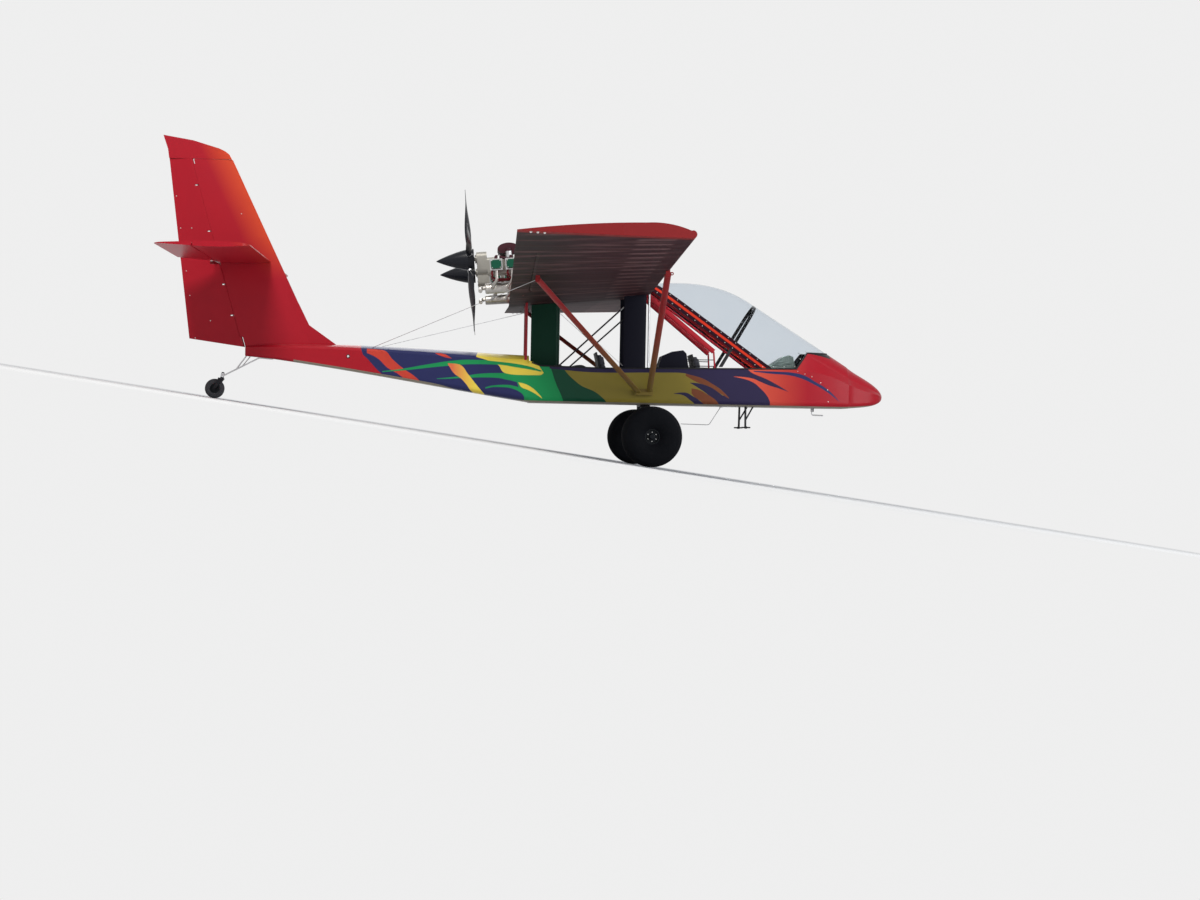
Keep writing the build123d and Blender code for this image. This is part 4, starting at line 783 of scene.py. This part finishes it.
# Rubber trim round the open cockpit and the windshield's foot
SILL = ((-1.30, 0.815), (-1.20, 0.781), (-0.50, 0.768), (1.27, 0.798), (1.72, 0.806), (1.85, 0.994))
RIM_Z = 0.994
RIM_X = (1.87, 2.106)
TRIM_R = 0.0085


def cockpit_trim():
    """One black strip from the rear deck along the sill and over the nose, on each side."""
    for side, word in SIDES:
        points = []
        for x, z in along(SILL, 0.06) + along([(x, RIM_Z) for x in RIM_X], 0.03):
            found = on_skin(rim_skin, x, z, side)
            if found:
                points.append(found[0])
        tube(f"sill_trim_{word}", points, TRIM_R, BLACK_MATT, "airframe")


cockpit_trim()


# Soft goods; a seam reaches SEW_REACH to each side of its point
SEW_REACH = 0.32
CLOTH_STEPS = 20


def freeze(piece):
    """Applies every modifier of a piece to its mesh."""
    deps = bpy.context.evaluated_depsgraph_get()
    mesh = bpy.data.meshes.new_from_object(piece.evaluated_get(deps))
    piece.modifiers.clear()
    old = piece.data
    piece.data = mesh
    bpy.data.meshes.remove(old)


def plumped(node, name, material, voxel=0.009, shrink=0.008, cap=0.016, pressure=4.0):
    """A cushion blown up from a slightly smaller copy of a CAD solid."""
    piece = bpy.data.objects.new(name, nodes[node].data.copy())
    bpy.context.scene.collection.objects.link(piece)
    remesh = piece.modifiers.new("remesh", "REMESH")
    remesh.mode = "VOXEL"
    remesh.voxel_size = voxel
    shrunk = piece.modifiers.new("shrink", "DISPLACE")
    shrunk.mid_level = 0.0
    shrunk.strength = -shrink
    freeze(piece)
    before = [v.co.copy() for v in piece.data.vertices]
    cloth = piece.modifiers.new("cloth", "CLOTH")
    cloth.settings.use_pressure = True
    cloth.settings.uniform_pressure_force = pressure
    cloth.settings.effector_weights.gravity = 0
    scene = bpy.context.scene
    for step in range(1, CLOTH_STEPS + 1):
        scene.frame_set(step)
    freeze(piece)
    scene.frame_set(1)
    for vertex, old in zip(piece.data.vertices, before):
        moved = vertex.co - old
        if moved.length > cap:
            vertex.co = old + moved * (cap / moved.length)
    smooth = piece.modifiers.new("smooth", "CORRECTIVE_SMOOTH")
    smooth.iterations = 6
    smooth.use_only_smooth = True
    freeze(piece)
    piece.data.materials.clear()
    piece.data.materials.append(material)
    for face in piece.data.polygons:
        face.use_smooth = True
    return piece


def sew(piece, seams, depth=0.007, width=0.009):
    """Presses sewn channels into a cushion; a seam is a level-frame point and a direction."""
    back = PARKED.inverted()
    normals = [v.normal.copy() for v in piece.data.vertices]
    for vertex, normal in zip(piece.data.vertices, normals):
        place = back @ vertex.co
        for point, way in seams:
            off = abs((place - Vector(point)).dot(Vector(way).normalized()))
            if off < 3 * width and (place - Vector(point)).length < SEW_REACH:
                vertex.co -= normal * depth * 2.718 ** (-((off / width) ** 2))


SEAT_LIPS = {"front": 1.085, "rear": -0.010}
for word, lip in SEAT_LIPS.items():
    pad = plumped(f"{word}_seat_pads", f"{word}_seat_cushions", SEAT_CLOTH)
    seams = [((lip - 0.40 - 0.025 * k, 0, 0.60 + 0.105 * k), (-0.23, 0, 0.97)) for k in range(1, 4)]
    seams += [((lip - 0.10 - 0.10 * k, 0, 0.54), (1, 0, 0.1)) for k in range(3)]
    sew(pad, seams)
    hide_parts(f"{word}_seat_pads")
    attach(pad, "airframe")
bag = plumped("baggage_bag", "soft_bag", BAG_CLOTH, voxel=0.011, shrink=0.012, cap=0.022)
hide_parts("baggage_bag")
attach(bag, "airframe")

# Engine details, placed in each engine's own frame: x forward from the propeller, z up
THRUST_TILT = radians(4.8)
CRANK_Z = -0.092
CYLINDERS_X = (0.285, 0.455)
# Radii of the spark plugs' caps and leads, the hoses, the carburettors and their covers
PLUG_R = 0.010
LEAD_R = 0.0045
HOSE_R = 0.011
CARBURETTOR_R = 0.0365
COVER_R = 0.026
# Bolts: their heads, the gearbox's ring of them, and the rocker covers' at their corners
BOLT_R = 0.007
BOLT_HEIGHT = 0.006
RING_BOLTS = 12
RING_X = 0.078
RING_Z = -0.05
RING_HALF = (0.070, 0.108)
ROCKER_Y = 0.300
ROCKER_HALF = (0.044, 0.038)
# Blades: their number and phase, and the ferrules at their roots
BLADES = 4
BLADE_PHASE = {"left": 35, "right": -21}
FERRULE_OUT = 0.130
FERRULE_R = (0.0262, 0.0250)
FERRULE_LENGTH = 0.020
ROUTE_STEPS = 6


def engine_frame(word):
    """Place of an engine's own frame in the parked aircraft's."""
    turn = PARKED.to_3x3().to_4x4() @ Matrix.Rotation(-THRUST_TILT, 4, "Y")
    return Matrix.Translation(joint_at[f"propeller_{word}_spin"]) @ turn


def smooth_route(points):
    """Points of a smooth line through the given ones."""
    route = []
    count = len(points)
    for k in range(count - 1):
        before = points[max(k - 1, 0)]
        start, end = points[k], points[k + 1]
        after = points[min(k + 2, count - 1)]
        for step in range(ROUTE_STEPS):
            t = step / ROUTE_STEPS
            route.append(0.5 * ((2 * start) + (end - before) * t
                                + (2 * before - 5 * start + 4 * end - after) * t * t
                                + (3 * start - before - 3 * end + after) * t ** 3))
    return route + [points[-1]]


def engine_details(word):
    """Leads, hoses, carburettor sleeves, bolts and blade ferrules of one engine."""
    seat = engine_frame(word)

    def spot(*place):
        return seat @ Vector(place)

    def direction(*way):
        return seat.to_3x3() @ Vector(way)

    number = 0
    for half in (1, -1):
        for x in CYLINDERS_X:
            number += 1
            plug = (x + 0.03, half * 0.242, CRANK_Z + 0.060)
            tube(f"plug_{word}_{number}", [spot(*plug), spot(plug[0], plug[1], plug[2] + 0.035)],
                 PLUG_R, LAMP_WHITE, "airframe")
            tube(f"plug_lead_{word}_{number}",
                 smooth_route([spot(plug[0], plug[1], plug[2] + 0.030),
                               spot(plug[0] + 0.01, plug[1] * 0.97, 0.045),
                               spot(plug[0] + 0.02, plug[1] * 0.80, 0.075 if x > 0.4 else 0.03),
                               spot(0.50, half * 0.10, 0.02), spot(0.505, half * 0.06, -0.04)]),
                 LEAD_R, LEAD_BLACK, "airframe")
            tube(f"coolant_hose_{word}_{number}",
                 smooth_route([spot(x - 0.045, half * 0.225, CRANK_Z - 0.060),
                               spot(x - 0.05, half * 0.225, CRANK_Z - 0.10),
                               spot(x - 0.02, half * 0.15, CRANK_Z - 0.145),
                               spot(0.44, half * 0.05, CRANK_Z - 0.150)]),
                 HOSE_R, HOSE_RED, "airframe")
        end = f"{word}_{'a' if half > 0 else 'b'}"
        foot, neck, head = (spot(0.430, half * 0.186, z) for z in (-0.018, 0.050, 0.085))
        tube(f"carburettor_{end}", [foot, neck], CARBURETTOR_R, SILVER, "airframe")
        tube(f"carburettor_cap_{end}", [neck, head], COVER_R, BLACK_MATT, "airframe")
    bolts = []
    for k in range(RING_BOLTS):
        turn = 2 * pi * k / RING_BOLTS
        ring_y, ring_z = RING_HALF[0] * sin(turn), RING_Z + RING_HALF[1] * cos(turn)
        bolts.append((spot(RING_X, ring_y, ring_z), direction(-1, 0, 0)))
    for half in (1, -1):
        for x in CYLINDERS_X:
            for dx in (-ROCKER_HALF[0], ROCKER_HALF[0]):
                for dz in (-ROCKER_HALF[1], ROCKER_HALF[1]):
                    bolts.append((spot(x + dx, half * ROCKER_Y, CRANK_Z + dz), direction(0, half, 0)))
    screw_heads(f"engine_bolts_{word}", bolts, BOLT_R, BOLT_HEIGHT, SCREW, "airframe",
                6)
    ferrules = bmesh.new()
    for k in range(BLADES):
        turn = Matrix.Rotation(radians(360 / BLADES * k + BLADE_PHASE[word]), 4, "X")
        ring = seat @ turn @ Matrix.Translation((0, 0, FERRULE_OUT))
        bmesh.ops.create_cone(ferrules, cap_ends=True, segments=28, radius1=FERRULE_R[0],
                              radius2=FERRULE_R[1], depth=FERRULE_LENGTH, matrix=ring)
    add_mesh(f"blade_ferrules_{word}", ferrules, SILVER, f"propeller_unit_{word}")
    tip = min((v.co for v in nodes[f"spinner_{word}"].data.vertices), key=lambda co: co.x)
    screw_heads(f"spinner_tip_{word}", [(tip + direction(0.004, 0, 0), direction(-1, 0, 0))], 0.009,
                0.010, SCREW, f"propeller_unit_{word}", 20)


for _, word in SIDES:
    engine_details(word)

# Small lamps on the boom's sides, at a place of the side view
BOOM_LAMP = (-3.381, 0.847)
BOOM_LAMP_R = 0.014
LAMP_SEAT_R = 0.024
LAMP_SEAT_HEIGHT = 0.008
for side, word in SIDES:
    point, way = on_skin(hull_skin, *BOOM_LAMP, side)
    dome = bmesh.new()
    bmesh.ops.create_uvsphere(dome, u_segments=16, v_segments=10, radius=BOOM_LAMP_R,
                              matrix=Matrix.Translation(point))
    add_mesh(f"boom_lamp_{word}", dome, LAMP_WHITE, "airframe")
    screw_heads(f"boom_lamp_seat_{word}", [(point, way)], LAMP_SEAT_R, LAMP_SEAT_HEIGHT, BLACK_MATT,
                "airframe", 24)

# Jacking block ahead of the belly probe
BLOCK_AT = (1.965, 0, 0.355)
BLOCK_SIZE = (0.030, 0.050, 0.060, 1)
BLOCK_BEVEL = 0.008
block = bmesh.new()
block_place = PARKED @ Matrix.Translation(BLOCK_AT) @ Matrix.Diagonal(BLOCK_SIZE)
bmesh.ops.create_cube(block, size=1, matrix=block_place)
bmesh.ops.bevel(block, geom=block.edges[:], offset=BLOCK_BEVEL, segments=4, profile=0.5,
                affect="EDGES")
add_mesh("nose_block", block, BLACK_MATT, "airframe")

# Wheel nuts, round the axle on the outer face of the hub's web
WHEEL_Y = 1.21
HUB_WEB_Y = 0.0284
NUT_CIRCLE = 0.050
NUTS = 6
for side, word in SIDES:
    nuts = []
    for k in range(NUTS):
        turn = 2 * pi * k / NUTS
        place = at(NUT_CIRCLE * sin(turn), side * (WHEEL_Y + HUB_WEB_Y), NUT_CIRCLE * cos(turn))
        nuts.append((place, (0, side, 0)))
    screw_heads(f"wheel_nuts_{word}", nuts, 0.009, 0.010, SCREW, f"main_wheel_{word}", 6)

# Bracing wires, braces, step treads, seat rails and wing-tip lamps
WIRE_R = 0.0022
BRACE_R = 0.009
TREAD_R = 0.008
TREAD_AT = (1.150, 0.127)
TREAD_CORNERS = ((-0.042, 0.290), (-0.042, 0.364), (0.042, 0.364), (0.042, 0.290))
RAIL_R = 0.005
RAILS_Z = (0.890, 0.818)
TIP_LAMPS = 3
TIP_LAMP_R = 0.012
for side, word in SIDES:
    tube(f"cabane_wire_{word}", [at(-0.985, side * 0.275, 1.430), at(-0.265, side * 0.290, 0.800)],
         WIRE_R, SILVER, "airframe")
    tube(f"cabane_brace_{word}", [at(-0.856, side * 0.270, 0.790), at(-0.262, side * 0.270, 1.335)],
         BRACE_R, DARK_STEEL, "airframe")
    tread = [at(TREAD_AT[0] + a, side * b, TREAD_AT[1]) for a, b in TREAD_CORNERS]
    tube(f"step_tread_{word}", tread, TREAD_R, BLACK_MATT, "airframe", closed=True)
    for k, z in enumerate(RAILS_Z):
        tube(f"seat_rail_{word}_{k}", [at(0.785, side * 0.281, z), at(0.47, side * 0.196, z)], RAIL_R,
             BLACK_MATT, "airframe")
    lamps = bmesh.new()
    for k in range(TIP_LAMPS):
        place = at(-1.33 - 0.06 * k, side * (5.43 + 0.022 * k), 1.742)
        bmesh.ops.create_uvsphere(lamps, u_segments=14, v_segments=8, radius=TIP_LAMP_R,
                                  matrix=Matrix.Translation(place))
    add_mesh(f"tip_lamps_{word}", lamps, LAMP_WHITE, "airframe")


# Floor, light and camera
PALE = 0.86
FLOOR_TONE = 0.73
FADE_START = 5.0
FADE_END = 12.0
FLOOR_SIDE = 400
SKY_TONE = (0.80, 0.86, 0.95, 1)
SKY_STRENGTH = 0.36


def seen_rays(tree):
    """1 for a ray from the camera, straight or by way of gloss or glass."""
    rays = tree.nodes.new("ShaderNodeLightPath")
    seen = rays.outputs["Is Camera Ray"]
    for kind in ("Is Glossy Ray", "Is Transmission Ray"):
        either = tree.nodes.new("ShaderNodeMath")
        either.operation = "MAXIMUM"
        tree.links.new(seen, either.inputs[0])
        tree.links.new(rays.outputs[kind], either.inputs[1])
        seen = either.outputs[0]
    return seen


def studio_floor():
    """Pale floor that keeps the shadow and fades into the background colour far away."""
    shader = Shader("studio_floor")
    tree = shader.tree
    point = tree.nodes.new("ShaderNodeTexCoord").outputs["Object"]
    length = tree.nodes.new("ShaderNodeVectorMath")
    length.operation = "LENGTH"
    tree.links.new(point, length.inputs[0])
    far = shader.math("DIVIDE", shader.math("SUBTRACT", length.outputs["Value"], FADE_START),
                      FADE_END - FADE_START, clamp=True)
    shader.finish((FLOOR_TONE, FLOOR_TONE, FLOOR_TONE), 0.9, specular=0.0)
    glow = tree.nodes.new("ShaderNodeEmission")
    glow.inputs["Color"].default_value = (PALE, PALE, PALE, 1)
    mix = tree.nodes.new("ShaderNodeMixShader")
    tree.links.new(shader.math("MULTIPLY", far, seen_rays(tree)), mix.inputs["Fac"])
    tree.links.new(shader.surface.outputs[0], mix.inputs[1])
    tree.links.new(glow.outputs[0], mix.inputs[2])
    tree.links.new(mix.outputs[0], tree.nodes["Material Output"].inputs["Surface"])
    bpy.ops.mesh.primitive_plane_add(size=FLOOR_SIDE)
    floor = bpy.context.object
    floor.name = "floor"
    floor.data.materials.append(shader.material)


def studio_world():
    """Soft grey light, seen as the pale backdrop."""
    world = bpy.data.worlds.new("studio")
    bpy.context.scene.world = world
    world.use_nodes = True
    tree = world.node_tree
    back = tree.nodes["Background"]
    back.inputs["Color"].default_value = SKY_TONE
    back.inputs["Strength"].default_value = SKY_STRENGTH
    seen_back = tree.nodes.new("ShaderNodeBackground")
    seen_back.inputs["Color"].default_value = (PALE, PALE, PALE, 1)
    mix = tree.nodes.new("ShaderNodeMixShader")
    tree.links.new(seen_rays(tree), mix.inputs["Fac"])
    tree.links.new(back.outputs[0], mix.inputs[1])
    tree.links.new(seen_back.outputs[0], mix.inputs[2])
    tree.links.new(mix.outputs[0], tree.nodes["World Output"].inputs["Surface"])


def lamp(name, place, target, size, power, color):
    """Soft area lamp."""
    light = bpy.data.lights.new(name, "AREA")
    light.shape = "DISK"
    light.size = size
    light.energy = power
    light.color = color
    holder = bpy.data.objects.new(name, light)
    bpy.context.scene.collection.objects.link(holder)
    holder.location = place
    holder.rotation_euler = (Vector(target) - Vector(place)).to_track_quat("-Z", "Y").to_euler()


# The photograph's frame and where two points of the level frame stand in it, in pixels
PHOTO_SIZE = (1200, 900)
AXLE_PIXEL = (642.65, 436.7)
PIXELS_PER_METRE = 86.7
PHOTO_NOSE_DOWN = radians(1.1)
PHOTO_AZIMUTH = radians(4.7)
CAMERA_DISTANCE = 22.0
CAMERA_HEIGHT = 0.06
SENSOR = 36.0


def photo_camera():
    """Camera at floor level, at the photograph's bearing, rolled as the photograph shows it."""
    away = PARKED.to_3x3() @ Vector((-sin(PHOTO_AZIMUTH), -cos(PHOTO_AZIMUTH), 0))
    place = AXLE + away * CAMERA_DISTANCE
    place.z = CAMERA_HEIGHT
    forward = (AXLE - place).normalized()
    nose = PARKED.to_3x3() @ Vector((cos(PHOTO_NOSE_DOWN), 0, sin(PHOTO_NOSE_DOWN)))
    up = nose.cross(forward).normalized()
    right = forward.cross(up).normalized()
    aside = (PHOTO_SIZE[0] / 2 - AXLE_PIXEL[0]) / PIXELS_PER_METRE
    rise = (AXLE_PIXEL[1] - PHOTO_SIZE[1] / 2) / PIXELS_PER_METRE
    aim = AXLE + right * aside + up * rise
    forward = (aim - place).normalized()
    right = forward.cross(up).normalized()
    up = right.cross(forward)
    data = bpy.data.cameras.new("photo_camera")
    data.sensor_width = SENSOR
    data.lens = SENSOR * PIXELS_PER_METRE * CAMERA_DISTANCE / PHOTO_SIZE[0]
    data.clip_end = 500
    camera = bpy.data.objects.new("photo_camera", data)
    bpy.context.scene.collection.objects.link(camera)
    turn = Matrix((right, up, -forward)).transposed().to_4x4()
    camera.matrix_world = Matrix.Translation(place) @ turn
    bpy.context.scene.camera = camera


studio_floor()
studio_world()
CENTRE = (0, 0, 1.3)
lamp("key", (-5, -10, 11), CENTRE, 5, 1500, (1.0, 0.97, 0.93))
lamp("fill", (10, -9, 5), CENTRE, 7, 650, (0.94, 0.97, 1.0))
lamp("back", (-3, 12, 9), CENTRE, 9, 420, (1.0, 1.0, 1.0))
photo_camera()
bpy.context.scene.view_settings.view_transform = "Standard"
